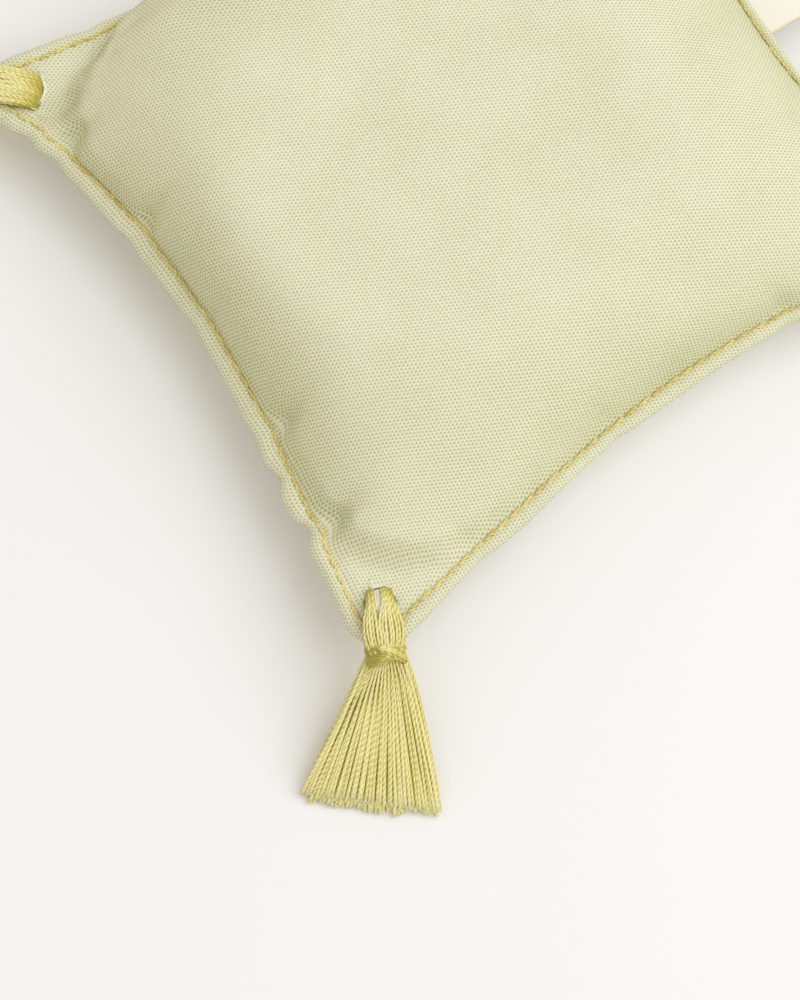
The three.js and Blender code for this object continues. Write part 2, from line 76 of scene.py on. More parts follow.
# Cloth simulation, at a tenfold size because thin cloth settles better in metres
SIM_SCALE = 10.0
SIM_DRAWN_IN_FRAME = 14
SIM_FRAMES = 22
SIM_SETTINGS = {
    "vertex_group_mass": "Held",
    "quality": 9,
    "mass": 0.1,
    "air_damping": 3.0,
    "tension_stiffness": 200.0,
    "compression_stiffness": 40.0,
    "shear_stiffness": 20.0,
    "bending_stiffness": 0.05,
    "use_pressure": True,
    "uniform_pressure_force": 120.0,
}
# Gap that the simulated cloth keeps to its floor
SIM_GAP = 0.001
# Farthest that a settled point may lie from the middle of the seam plane
SIM_LIMIT = 0.08

# Steepness of the crown over each side, its height and how sharply it levels off
CROWN_GAINS = (1.50, 1.05, 1.10, 1.30)
CROWN_HEIGHT = 12.5 * MM
CROWN_POWER = 14
# How far the foot of the crown leans in, and the height in which it does
CROWN_LEAN = 1.0 * MM
CROWN_LEAN_RISE = 1.5 * MM
# Step up round the ears: its height, the length in which it rises and the length in which it fades
EAR_STEP = 1.9 * MM
EAR_STEP_RUN = 0.8 * MM
EAR_STEP_FADE = 16 * MM
# Lumps of the crown: their number, how far out they lie, their reach and their height in millimetres
CROWN_LUMPS = 46
LUMP_SPREAD = 38
LUMP_REACH = (4, 10)
LUMP_HEIGHT = 0.28
# How far the crown hangs over at the back, then start and length of its fade from both sides and to the back
BACK_OVERHANG = 3.6 * MM
OVERHANG_SIDES = (0.10, 0.14)
OVERHANG_BACK = (0.70, 0.20)

# Flat ear of each corner: its reach along the side before, to the middle and along the side after
EARS = ((17.5, 5.6, 6.8), (6.5, 4.7, 9.0), (9.0, 5.6, 11.0), (10.0, 5.6, 8.0))
EAR_RISE = 0.3 * MM
# Evening out of the folds that fan out from each corner: its reach, its fade and its rounds
FAN_REACH = 40 * MM
FAN_FADE = 14 * MM
FAN_ROUNDS = 26

# Height of the stitch line above the seam plane
STITCH_HEIGHT = 0.72 * MM
# Topstitches: distance outside the stitch line, slant, sunk ends, arch and length of the thread's twist
STITCH_OUT = 0.28 * MM
STITCH_SLANT = 0.34 * MM
STITCH_SUNK = 0.06 * MM
STITCH_ARCH = 0.30 * MM
THREAD_PITCH = 1.7 * MM
# Stitches of the closing seam: length, distance outside the stitch line, radius and length of the twist
CLOSING_STITCH = 2.0 * MM
CLOSING_OUT = 1.55 * MM
CLOSING_RADIUS = 0.055 * MM
CLOSING_PITCH = 1.0 * MM
# Cross-section of the flange: share of its width outside the stitch line, and height in millimetres
FLANGE_PROFILE = (
    (0.11, 0.80),
    (0.27, 1.02),
    (0.45, 1.16),
    (0.62, 1.12),
    (0.78, 0.94),
    (0.90, 0.66),
    (0.97, 0.38),
    (1.00, 0.16),
    (0.95, 0.08),
    (0.75, 0.06),
    (0.20, 0.06),
    (-0.60, 0.06),
)

# What each side's edge adds to the flange's width: the left one lies flat and the right one is rolled under
EDGE_CHANGES = (0.20, -0.05, -0.34, -0.05)
# Waves of the seam: share, number round the cushion and phase, then their height and fade at a hole
SEAM_WAVES = ((0.5, 44, 0.7), (0.35, 31, 2.1), (0.3, 19, 0.0))
WAVE_HEIGHT = 0.22
WAVE_FADE = 12 * MM

# Puckers: side, place along it from 0 to 1, depth beside the stitching and depth in the folded edge
PUCKERS = (
    (0, 0.085, 1.60, 0.60),
    (0, 0.140, 1.50, 0.50),
    (0, 0.312, 1.35, 0.35),
    (0, 0.480, 0.35, 0.30),
    (0, 0.674, 1.45, 0.10),
    (0, 0.742, 0.10, 1.25),
    (0, 0.836, 1.70, 0.10),
    (0, 0.826, 0.10, 1.35),
    (1, 0.170, 0.30, 0.30),
    (1, 0.420, 0.25, 0.35),
    (1, 0.710, 0.45, 0.40),
    (2, 0.220, 0.45, 0.40),
    (2, 0.800, 0.60, 0.60),
    (3, 0.160, 0.50, 0.60),
    (3, 0.370, 0.75, 0.50),
    (3, 0.620, 0.55, 0.80),
    (3, 0.850, 0.65, 0.40),
)
# Half width of a pucker along the seam, and how far one of depth 1 pulls the stitching in
PUCKER_WIDTH = 1.7 * MM
PUCKER_PULL = 0.25 * MM
# Deepest dent of a pucker, how far inside the stitching it lies, and how far puckers and waves carry
PUCKER_DENT = 1.0 * MM
PUCKER_INSIDE = 1.8 * MM
PUCKER_REACH = 14 * MM
WAVE_CARRY = 3.5 * MM
# Folded edge: pull of a notch and push of a dent in millimetres, its swell with two lengths, and flattening
NOTCH_PULL = 0.85
DENT_PUSH = 0.10
EDGE_SWELL = 0.20 * MM
SWELL_LENGTHS = (4.6 * MM, 17 * MM)
NOTCH_FLATTENING = 0.30
STITCH_RIPPLE = 0.10

# Path of the loop in millimetres: distance from the hole and height over the seam plane
LOOP_PATH = (
    (7.6, 0.80),
    (6.5, 0.95),
    (5.7, 1.45),
    (4.8, 2.00),
    (3.6, 2.40),
    (2.0, 2.62),
    (0.4, 2.52),
    (-0.9, 2.00),
    (-1.55, 1.10),
    (-1.72, 0.0),
)
# Layers of the loop: how far each lies outside that path, and its yarns
LOOP_LAYERS = ((0.30, 13), (-0.05, 12), (-0.36, 10))
# Wraps of the tie: the way that each slants, its turns and their spacing, then half width and height of all
TIE_WRAPS = ((0, 8, 0.33), (-1, 5, 0.27), (1, 5, 0.27))
TIE_WIDE = 2.36
TIE_TALL = 1.86
# Distance from the hole to the middle of the tie and to the start of the skirt
TIE_CENTRE = 6.85 * MM
SKIRT_START = 6.2 * MM
SKIRT_LAYERS = 3
# Fibres at each hole: rings of the cut edge and fibres on each face, and fibres in a full parting
LIP_RINGS = 3
LIP_FIBRES = 5
TONGUE_FIBRES = 26
FIBRE_PITCH = 2 * MM

# Filling: how much of the CAD pad each pad takes up, the hollow in it, and the number and spread of the buds
PAD_SHARE = 0.93
HOLLOW_DEPTH = 5.6 * MM
HOLLOW_RADIUS = 25 * MM
BUD_COUNT = 420
BUD_SPREAD = 20.5 * MM

# Heading of the label, and how far it bends down to its fold, in degrees
LABEL_HEADING = -2.0
LABEL_FALL = 34.0
# Shift of the label along its seam, its thickness and the length of tape in half of its fold
LABEL_SHIFT = 1.0 * MM
LABEL_THICKNESS = 0.14 * MM
LABEL_BEND = 0.30 * MM
# How far the label opens the flange, in millimetres, and where that fades beside it
LABEL_OPENS = 0.20
LABEL_FADE = 4 * MM

# Turn of each tassel's head and skirt off its CAD line in degrees, in the order of the corners
HEAD_TURNS = (6.0, 9.0, -5.0, 4.0)
SKIRT_TURNS = (-2.0, -3.4, 3.0, -3.0)
# Radius of each hole as a share of the smallest, and half width, shift and parting of the loop in it
HOLE_SHARES = (1.35, 1.0, 1.1, 1.1)
LOOP_WIDTHS = (2.55, 1.25, 1.55, 1.45)
LOOP_SHIFTS = (0.3, 0.0, -0.1, 0.1)
LOOP_PARTINGS = (0.0, 1.0, 0.5, 0.7)

# Flat places of cloth and label go into their UV maps at this scale
FLAT_SCALE = 10
# How soon steep cloth takes its painted shade, and how much of that painted shade the folded edge has
FOLD_SHADE_GAIN = 2.2
FLANGE_SHADE_SHARE = 0.35
# What darkens the cloth: its crossings, its stripes (painted shade in the gaps between thread columns), its
# grain, its blotches and an even share
CROSSING_SHARE = 0.47
STRIPE_SHARE = 0.23
STRIPE_PHASE = 2.7
GRAIN_SHARE = 0.35
BLOTCH_SHARE = 0.30
EVEN_SHARE = 0.34

# The photo's camera, found by fitting the outline and the stitching
CAMERA_AZIMUTH = math.radians(-34.1)
CAMERA_ELEVATION = math.radians(75.0)
CAMERA_BACK = 0.4133
CAMERA_RIGHT = -0.01115
CAMERA_UP = -0.04655
CAMERA_LENS = 108.0
CAMERA_SENSOR = 36.0

# Soft lamp, sky and floor
LAMP_PLACE = (0.51, -0.32, 0.77)
LAMP_SIZE = 0.95
LAMP_POWER = 5.35
LAMP_COLOUR = (0.88, 0.94, 1.0)
SKY_COLOUR = (1.0, 0.97, 0.86, 1.0)
SKY_STRENGTH = 0.69
FLOOR_SIZE = 6.0
FLOOR_PLACE = (0.0, 0.0, -0.0001)

UP = np.array([0.0, 0.0, 1.0])


def clipped(values):
    return np.clip(values, 0.0, 1.0)


def smooth_step(share):
    return share * share * (3 - 2 * share)


def bell(values):
    return np.exp(-(values**2))


def unit(vectors):
    return vectors / np.linalg.norm(vectors, axis=-1)[..., None]


def lifted(flat, height):
    """Flat places with their heights, as points."""
    return np.concatenate([flat, np.asarray(height)[..., None]], axis=-1)


def grid_normals(grid):
    normal = np.cross(np.gradient(grid, axis=0), np.gradient(grid, axis=1))
    return normal / (np.linalg.norm(normal, axis=2)[..., None] + 1e-12)


def degrees_vector(angle):
    return np.array([math.cos(math.radians(angle)), math.sin(math.radians(angle))])


def joint(name):
    for found in frame["joints"]:
        if found["name"] == name:
            return found
    raise RuntimeError("the frame has no joint named " + name)


def hole_of(corner):
    return np.array(joint(corner + "_sway")["pos_m"])


def even_path(path, steps):
    lengths = np.linalg.norm(np.diff(path, axis=0), axis=1)
    run = np.concatenate([[0.0], np.cumsum(lengths)])
    places = np.linspace(0.0, run[-1], steps + 1)
    return np.stack([np.interp(places, run, path[:, k]) for k in range(path.shape[1])], axis=1)


def smooth_path(points, steps):
    """A Catmull-Rom curve through the points, at even steps."""
    p = np.asarray(points, float)
    p = np.concatenate([[2 * p[0] - p[1]], p, [2 * p[-1] - p[-2]]])
    t = np.linspace(0.0, 1.0, 12, endpoint=False)[:, None]
    runs = []
    for a, b, c, d in zip(p[:-3], p[1:-2], p[2:-1], p[3:]):
        runs.append(
            0.5 * (2 * b + (c - a) * t + (2 * a - 5 * b + 4 * c - d) * t**2 + (3 * b - a - 3 * c + d) * t**3)
        )
    return even_path(np.concatenate(runs + [p[-2:-1]]), steps)


def refined(grid):
    """The grid with a point set between each two, on a cubic, first one way and then the other."""
    for _ in range(2):
        middle = np.empty((len(grid) - 1,) + grid.shape[1:])
        middle[1:-1] = (9 * (grid[1:-2] + grid[2:-1]) - grid[:-3] - grid[3:]) / 16
        middle[0] = (3 * grid[0] + 6 * grid[1] - grid[2]) / 8
        middle[-1] = (3 * grid[-1] + 6 * grid[-2] - grid[-3]) / 8
        finer = np.empty((2 * len(grid) - 1,) + grid.shape[1:])
        finer[0::2] = grid
        finer[1::2] = middle
        grid = finer.swapaxes(0, 1)
    return grid


class Seam:
    """The stitch line round the cushion, flat as cut and drawn in as sewn."""

    def __init__(self, sizes, steps):
        self.sizes = sizes
        self.steps = steps
        self.holes = [hole_of(corner) for corner in CORNERS]
        self.height = self.holes[0][2]
        sewn = [self.side(k, [sizes.drawn_in] * 4) for k in range(4)]
        flat = [self.side(k, EASED) * sizes.slack for k in range(4)]
        self.sewn_sides = [even_path(path, steps) for path in sewn]
        self.flat_sides = [even_path(path, steps) for path in flat]
        self.ring = np.concatenate([path[:-1] for path in self.sewn_sides])
        self.flat_ring = np.concatenate([path[:-1] for path in self.flat_sides])
        self.outward = self.normals(self.ring)
        self.flat_outward = self.normals(self.flat_ring)
        gaps = np.linalg.norm(np.roll(self.ring, -1, axis=0) - self.ring, axis=1)
        self.along = np.concatenate([[0.0], np.cumsum(gaps)[:-1]])
        self.length = gaps.sum()
        self.dent, self.notch = self.pinches()
        self.broad = self.breadths()
        self.wave = self.waves()
        self.opening = self.label_opening()

    def side(self, k, shares):
        """One side's stitch line with half of the rounding at each of its ends."""
        following = (k + 1) % 4
        start_hole = self.holes[k][:2]
        end_hole = self.holes[following][:2]
        outer = self.sizes.corner_radius
        inner = outer - self.sizes.flange
        start = HEADINGS[k] + FLARES[k][0] * shares[k]
        end = HEADINGS[k] - FLARES[k][1] * shares[k]
        before = HEADINGS[k] - 90 - FLARES[k - 1][1] * shares[k - 1]
        after = HEADINGS[k] + 90 + FLARES[following][0] * shares[following]
        first = start_hole + outer * degrees_vector(start - 90)
        last = end_hole + outer * degrees_vector(end - 90)
        reach = np.linalg.norm(last - first) * SIDE_HANDLE
        near = first + reach * degrees_vector(start)
        far = last - reach * degrees_vector(end)
        t = np.linspace(0.0, 1.0, 300)[:, None]
        curve = (1 - t) ** 3 * first + 3 * (1 - t) ** 2 * t * near + 3 * (1 - t) * t**2 * far + t**3 * last
        slope = (1 - t) ** 2 * (near - first) + 2 * (1 - t) * t * (far - near) + t**2 * (last - far)
        slope = unit(slope)
        curve += np.stack([-slope[:, 1], slope[:, 0]], axis=1) * self.sizes.flange
        opening = np.linspace((before + start) / 2, start, 24)[:-1] - 90
        closing = np.linspace(end, (end + after) / 2, 24)[1:] - 90
        arc_in = np.array([start_hole + inner * degrees_vector(a) for a in opening])
        arc_out = np.array([end_hole + inner * degrees_vector(a) for a in closing])
        return np.concatenate([arc_in, curve, arc_out])

    def normals(self, ring):
        slope = unit(np.roll(ring, -1, axis=0) - np.roll(ring, 1, axis=0))
        return np.stack([slope[:, 1], -slope[:, 0]], axis=1)

    def place(self, side, share):
        start = self.along[side * self.steps]
        end = self.length if side == 3 else self.along[(side + 1) * self.steps]
        return start + share * (end - start)

    def round_distance(self, place):
        away = np.abs(self.along - place)
        return np.minimum(away, self.length - away)

    def pinches(self):
        total = np.zeros((2, len(self.ring)))
        for side, share, dent, notch in PUCKERS:
            pinch = bell(self.round_distance(self.place(side, share)) / PUCKER_WIDTH)
            total[0] += dent * pinch
            total[1] += notch * pinch
        return total * self.sizes.pucker

    def breadths(self):
        """Share of the flange's width that shows."""
        share = np.mod(np.arange(len(self.ring)) / self.steps, 1.0)
        fade = clipped(np.minimum(share, 1 - share) / 0.25)
        return 1 + np.repeat(EDGE_CHANGES, self.steps) * smooth_step(fade)

    def waves(self):
        """Height of the seam over its plane: slow waves, strongest on the left side."""
        turn = 2 * np.pi * self.along / self.length
        wave = sum(share * np.sin(number * turn + phase) for share, number, phase in SEAM_WAVES)
        share = 0.35 + 0.65 * (np.arange(len(self.ring)) < self.steps)
        away = np.min([np.linalg.norm(self.ring - hole[:2], axis=1) for hole in self.holes], axis=0)
        fade = np.minimum(1.0, away / WAVE_FADE)
        return wave * share * fade * WAVE_HEIGHT * MM * self.sizes.pucker

    def label_place(self):
        """Where the label's middle stands along the stitch line."""
        low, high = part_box("side_label")
        right = np.arange(2 * self.steps, 3 * self.steps)
        nearest = right[np.argmin(np.abs(self.ring[right, 1] - (low.y + high.y) / 2))]
        return self.along[nearest]

    def label_opening(self):
        away = self.round_distance(self.label_place())
        inner = self.sizes.label_width / 2
        return smooth_step(clipped((inner + LABEL_FADE - away) / LABEL_FADE)) * LABEL_OPENS * MM

    def patch(self, sides):
        """A grid of points, from left to right and from front to back, between four sides."""
        left, front, right, back = sides[0][::-1], sides[1], sides[2], sides[3][::-1]
        a = np.linspace(0.0, 1.0, self.steps + 1)[:, None, None]
        b = np.linspace(0.0, 1.0, self.steps + 1)[None, :, None]
        grid = (1 - b) * front[:, None] + b * back[:, None] + (1 - a) * left[None] + a * right[None]
        grid -= (1 - a) * (1 - b) * front[0] + a * (1 - b) * front[-1]
        return grid - (1 - a) * b * back[0] - a * b * back[-1]

    def ear_margin(self):
        """How far each point of the sewn grid lies outside the flat ears round the corner holes."""
        grid = self.patch(self.sewn_sides)
        margins = []
        for hole, reaches in zip(self.holes, EARS):
            away = grid - hole[:2]
            middle = math.atan2(-hole[1], -hole[0])
            angle = np.arctan2(away[..., 1], away[..., 0]) - middle
            angle = np.mod(angle + math.pi, 2 * math.pi) - math.pi
            share = np.clip(angle / (math.pi / 4), -1.0, 1.0) ** 3
            before, inner, after = reaches
            reach = inner + np.where(share < 0, -share * (after - inner), share * (before - inner))
            margins.append(np.linalg.norm(away, axis=2) - reach * MM)
        return np.min(margins, axis=0)

    def ring_places(self):
        """Where each point of the ring stands in the grid."""
        m = self.steps
        k = np.arange(m)
        across = np.concatenate([0 * k, k, 0 * k + m, m - k])
        onward = np.concatenate([m - k, 0 * k, k, 0 * k + m])
        return across, onward


def deselect():
    if bpy.context.mode != "OBJECT":
        bpy.ops.object.mode_set(mode="OBJECT")
    bpy.ops.object.select_all(action="DESELECT")


def choose(obj):
    deselect()
    obj.select_set(True)
    bpy.context.view_layer.objects.active = obj


def added(operator, **settings):
    """The object that an adding operator makes."""
    deselect()
    operator(**settings)
    return bpy.context.active_object


def modify(obj, kind, **settings):
    """Adds a modifier with these settings and applies it."""
    choose(obj)
    bpy.ops.object.modifier_add(type=kind)
    modifier = obj.modifiers[-1]
    for key, value in settings.items():
        setattr(modifier, key, value)
    bpy.ops.object.modifier_apply(modifier=modifier.name)


def vertex_places(mesh):
    places = np.empty(len(mesh.vertices) * 3)
    mesh.vertices.foreach_get("co", places)
    return places.reshape(-1, 3)


def mesh_object(name, points, faces, flat=None, values=None):
    """A smooth mesh, with a flat place of each face corner as its UV map and values as point attributes."""
    mesh = bpy.data.meshes.new(name)
    mesh.from_pydata(np.asarray(points).tolist(), [], [list(map(int, face)) for face in faces])
    if flat is not None:
        layer = mesh.uv_layers.new(name="Flat")
        layer.data.foreach_set("uv", np.asarray(flat, np.float32).ravel())
    for key, value in (values or {}).items():
        attribute = mesh.attributes.new(key, "FLOAT", "POINT")
        attribute.data.foreach_set("value", np.asarray(value, np.float32))
    mesh.shade_smooth()
    mesh.update()
    obj = bpy.data.objects.new(name, mesh)
    bpy.context.scene.collection.objects.link(obj)
    return obj


def grid_faces(rows, columns, offset=0, closed=False):
    """Quads between neighbouring points of a grid of rows by columns."""
    index = np.arange(rows * columns).reshape(rows, columns) + offset
    if closed:
        index = np.concatenate([index, index[:, :1]], axis=1)
    corners = (index[:-1, :-1], index[1:, :-1], index[1:, 1:], index[:-1, 1:])
    return np.stack(corners, axis=-1).reshape(-1, 4)


class Strands:
    """Round yarns and threads, gathered into one mesh, with the turn round each and its twist as a UV map."""

    def __init__(self, sides=6):
        self.sides = sides
        self.points = []
        self.faces = []
        self.flat = []
        self.tone = []
        self.count = 0

    def add(self, path, across, radius, pitch, phase=0.0, tone=0.5, taper=1.0, lead=0.0):
        """A strand along a path; across is a way that the path never runs, and lead turns its seam."""
        path = np.asarray(path, float)
        slope = unit(np.gradient(path, axis=0))
        side = unit(np.cross(slope, np.broadcast_to(across, slope.shape)))
        rise = np.cross(side, slope)
        steps = np.linalg.norm(np.diff(path, axis=0), axis=1)
        twist = phase + np.concatenate([[0.0], np.cumsum(steps)]) / pitch
        angle = np.linspace(0.0, 2 * np.pi, self.sides, endpoint=False) + lead
        width = np.broadcast_to(radius * np.asarray(taper), len(path))
        spokes = np.cos(angle)[None, :, None] * side[:, None] + np.sin(angle)[None, :, None] * rise[:, None]
        ring = path[:, None] + width[:, None, None] * spokes
        rows = len(path)
        last = self.count + (rows - 1) * self.sides
        self.points.append(ring.reshape(-1, 3))
        self.faces.extend(grid_faces(rows, self.sides, self.count, closed=True))
        self.faces.append(np.arange(self.count, self.count + self.sides))
        self.faces.append(np.arange(last + self.sides - 1, last - 1, -1))
        turn = np.arange(self.sides + 1) / self.sides
        turns = np.broadcast_to(turn, (rows, self.sides + 1))
        twists = np.broadcast_to(twist[:, None], (rows, self.sides + 1))
        place = np.stack([turns, twists], axis=-1)
        corners = (place[:-1, :-1], place[1:, :-1], place[1:, 1:], place[:-1, 1:])
        self.flat.append(np.stack(corners, axis=2).reshape(-1, 2))
        self.flat.append(place[0, :-1])
        self.flat.append(place[-1, -2::-1])
        self.tone.append(np.repeat(np.broadcast_to(tone, rows), self.sides))
        self.count += rows * self.sides

    def make(self, name):
        values = {"tone": np.concatenate(self.tone)}
        return mesh_object(name, np.concatenate(self.points), self.faces, np.concatenate(self.flat), values)


def operation(name, reflected=False):
    """A method that joins a shader value with another value, or another value with it."""

    def method(self, other):
        return self.maths(name, other, self) if reflected else self.maths(name, self, other)

    return method


class Socket:
    """A shader value that can be used in sums."""

    def __init__(self, graph, output):
        self.graph = graph
        self.output = output

    def maths(self, operation, first, second=0.0):
        return self.graph.add("ShaderNodeMath", {"operation": operation}, {0: first, 1: second})

    __add__ = operation("ADD")
    __radd__ = operation("ADD", True)
    __sub__ = operation("SUBTRACT")
    __rsub__ = operation("SUBTRACT", True)
    __mul__ = operation("MULTIPLY")
    __rmul__ = operation("MULTIPLY", True)

    def sine(self):
        return self.maths("SINE", self)

    def size(self):
        return self.maths("ABSOLUTE", self)

    def clamped(self):
        return self.graph.add("ShaderNodeClamp", {}, {"Value": self})


class Graph:
    """A material's nodes."""

    def __init__(self, name):
        self.material = bpy.data.materials.new(name)
        self.material.use_nodes = True
        self.tree = self.material.node_tree
        self.shader = self.tree.nodes["Principled BSDF"]

    def add(self, kind, settings, inputs, output=0):
        node = self.tree.nodes.new(kind)
        for key, value in settings.items():
            setattr(node, key, value)
        for key, value in inputs.items():
            self.feed(node.inputs[key], value)
        return Socket(self, node.outputs[output])

    def feed(self, socket, value):
        if isinstance(value, Socket):
            self.tree.links.new(value.output, socket)
        else:
            socket.default_value = value

    def set(self, **values):
        for name, value in values.items():
            self.feed(self.shader.inputs[name.replace("_", " ")], value)

    def mix(self, factor, first, second):
        return self.add("ShaderNodeMix", {"data_type": "RGBA"}, {0: factor, 6: first, 7: second}, 2)

    def noise(self, vector, scale, detail=2.0):
        return self.add("ShaderNodeTexNoise", {}, {"Vector": vector, "Scale": scale, "Detail": detail}) - 0.5

    def place(self):
        return self.add("ShaderNodeTexCoord", {}, {}, 3)

    def flat(self):
        """The UV map of cloth and strands, and its two parts."""
        whole = self.add("ShaderNodeUVMap", {"uv_map": "Flat"}, {})
        u, v = (self.add("ShaderNodeSeparateXYZ", {}, {0: whole}, part) for part in (0, 1))
        return whole, u, v

    def attribute(self, name):
        return self.add("ShaderNodeAttribute", {"attribute_name": name}, {}, 2)

    def bump(self, height, distance, strength=1.0):
        inputs = {"Height": height, "Distance": distance, "Strength": strength}
        self.set(Normal=self.add("ShaderNodeBump", {}, inputs))


def shade(colour, factor=1.0):
    """A colour property, which is linear already, as a shader colour."""
    return (*(min(1.0, part * factor) for part in colour), 1.0)


def painted_fold_shade(colour, share):
    """Painted shade for steep cloth: a darker, more yellow-green copy of the colour, standing in for the
    shade on walls and folds.
    """
    return colour[0] * share, colour[1] * share * 1.005, colour[2] * share * 0.87


def woven(name, light, dark, across, along):
    """A plain weave: dark crossings, about as wide as they are long, between the pale threads."""
    graph = Graph(name)
    whole, u, v = graph.flat()
    drift = graph.noise(whole, 55.0)
    columns = u * (math.pi / across / FLAT_SCALE) + drift * 1.3
    rows = v * (math.pi / along / FLAT_SCALE) + drift * 1.7
    crossing = columns.sine() * rows.sine()
    # Stripes: a dark line between each two thread columns, painted shade in the gaps between the threads.
    stripe = (columns * 2.0 - STRIPE_PHASE).sine()
    grain = graph.noise(whole, 140.0, 3.0)
    blotch = graph.noise(whole, 9.0)
    waves = crossing * CROSSING_SHARE + stripe * STRIPE_SHARE
    amount = (waves + grain * GRAIN_SHARE + blotch * BLOTCH_SHARE + EVEN_SHARE).clamped()
    level = graph.mix(amount, shade(light), shade(dark))
    # Steep cloth gets painted shade: the slope attribute mixes in darker, more saturated copies of both
    # thread colours.
    steep = graph.mix(amount, shade(painted_fold_shade(light, 0.89)), shade(painted_fold_shade(dark, 0.74)))
    graph.set(Base_Color=graph.mix(graph.attribute("slope"), level, steep))
    graph.set(Roughness=0.92, Specular_IOR_Level=0.2)
    graph.bump(grain * 0.4 - crossing * 0.5, 0.00005, 0.7)
    return graph.material


def stranded(name, light, dark, pressed, grain_scale, depth, plied, side_shade):
    """Two-ply strands: painted highlight on the crown of each ply, painted shade in its grooves and at each
    strand's sides, the pressed colour as painted shade where the amount is below zero, and each strand a
    little different.
    """
    graph = Graph(name)
    _, turn, twist = graph.flat()
    grain = graph.noise(graph.place(), grain_scale, 3.0)
    ply = ((turn + twist) * (4 * math.pi) + grain * 3.0).sine()
    # Crown is bright over the top and bottom of each strand and dark at its sides: painted shade between
    # neighbouring strands.
    crown = (turn * (2 * math.pi)).sine().size()
    amount = ply * plied + crown * side_shade + graph.attribute("tone") * 0.42 + grain * 0.70
    amount = amount + (0.42 - 0.72 * side_shade)
    colour = graph.mix(amount.clamped(), shade(dark), shade(light))
    # Below zero the colour goes towards the pressed colour: painted shade in the holes, between strands and
    # on the tie.
    colour = graph.mix((amount * -1.6).clamped(), colour, shade(pressed))
    graph.set(Base_Color=colour, Roughness=0.6, Specular_IOR_Level=0.3)
    graph.bump(ply * 0.5 + grain * 0.5, depth)
    return graph.material


def plain(name, colour, roughness, grain_scale=0.0, grain=0.0):
    graph = Graph(name)
    graph.set(Base_Color=shade(colour), Roughness=roughness, Specular_IOR_Level=0.2)
    if grain:
        texture = graph.noise(graph.place(), grain_scale, 4.0)
        amount = (texture * grain + 0.5).clamped()
        graph.set(Base_Color=graph.mix(amount, shade(colour, 0.8), shade(colour, 1.15)))
        graph.bump(texture, 0.0004, 0.4)
    return graph.material


def dress(obj, material, slot, body, *nodes):
    """Gives a finished piece its material and its body, and hides the CAD nodes that it stands for; the slot
    argument is not used.
    """
    obj.data.materials.clear()
    obj.data.materials.append(material)
    if body:
        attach(obj, body)
    if nodes:
        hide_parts(*nodes)
    return obj


def sizes_of(context):
    return context.scene.sachet_sizes


def colours_of(context):
    return context.scene.sachet_colours


def colour_property(name, description, default):
    return bpy.props.FloatVectorProperty(
        name=name, description=description, default=default, size=3, subtype="COLOR", min=0.0, max=1.0
    )


def length_property(name, description, default):
    return bpy.props.FloatProperty(
        name=name, description=description, default=default, unit="LENGTH", min=0.0, precision=5
    )


class SachetSizes(bpy.types.PropertyGroup):
    corner_radius: length_property("Corner radius", "Rounding of the corners about the holes", 5.4 * MM)
    flange: length_property("Flange", "Distance from the stitching to the folded edge", 2.2 * MM)
    cloth: length_property("Cloth thickness", "Thickness of the cloth", 0.35 * MM)
    weave_across: length_property("Weave across", "Spacing of the threads that run along Y", 0.505 * MM)
    weave_along: length_property("Weave along", "Spacing of the threads that run along X", 0.258 * MM)
    hole_radius: length_property("Hole radius", "Radius of the smallest tassel hole", 2.0 * MM)
    stitch_length: length_property("Stitch length", "Length of one stitch of the topstitching", 2.35 * MM)
    stitch_radius: length_property("Stitch radius", "Radius of the sewing thread", 0.235 * MM)
    label_width: length_property("Label width", "Width of the label along its seam", 18.0 * MM)
    label_reach: length_property("Label reach", "How far the label stands out of its seam", 14.0 * MM)
    label_held: length_property("Label held", "How much of the label is caught in the seam", 4.0 * MM)
    yarn_radius: length_property("Yarn radius", "Radius of one yarn of the tassels", 0.26 * MM)
    yarn_pitch: length_property("Yarn twist", "Length in which the yarn turns once", 1.75 * MM)
    skirt_reach: length_property("Skirt reach", "Distance from the hole to the cut ends", 25.2 * MM)
    skirt_width: length_property("Skirt width", "Width of the skirt at its cut ends", 19.2 * MM)
    skirt_strands: bpy.props.IntProperty(
        name="Skirt strands", description="Yarns across each layer of a skirt", default=38, min=8, max=60
    )
    cells: bpy.props.IntProperty(
        name="Cloth cells", description="Cells of the cloth along each side", default=72, min=24, max=120
    )
    slack: bpy.props.FloatProperty(
        name="Slack", description="Size of the flat cut, 1 to span the corners", default=1.0, min=0.9, max=1.2
    )
    drawn_in: bpy.props.FloatProperty(
        name="Drawn in", description="How far the filling draws the sides in", default=1.0, min=0.0, max=1.5
    )
    pucker: bpy.props.FloatProperty(
        name="Pucker", description="Strength of the puckers along the seams", default=1.0, min=0.0, max=3.0
    )
    seed: bpy.props.IntProperty(name="Seed", description="Seed of all random choices", default=7, min=0)


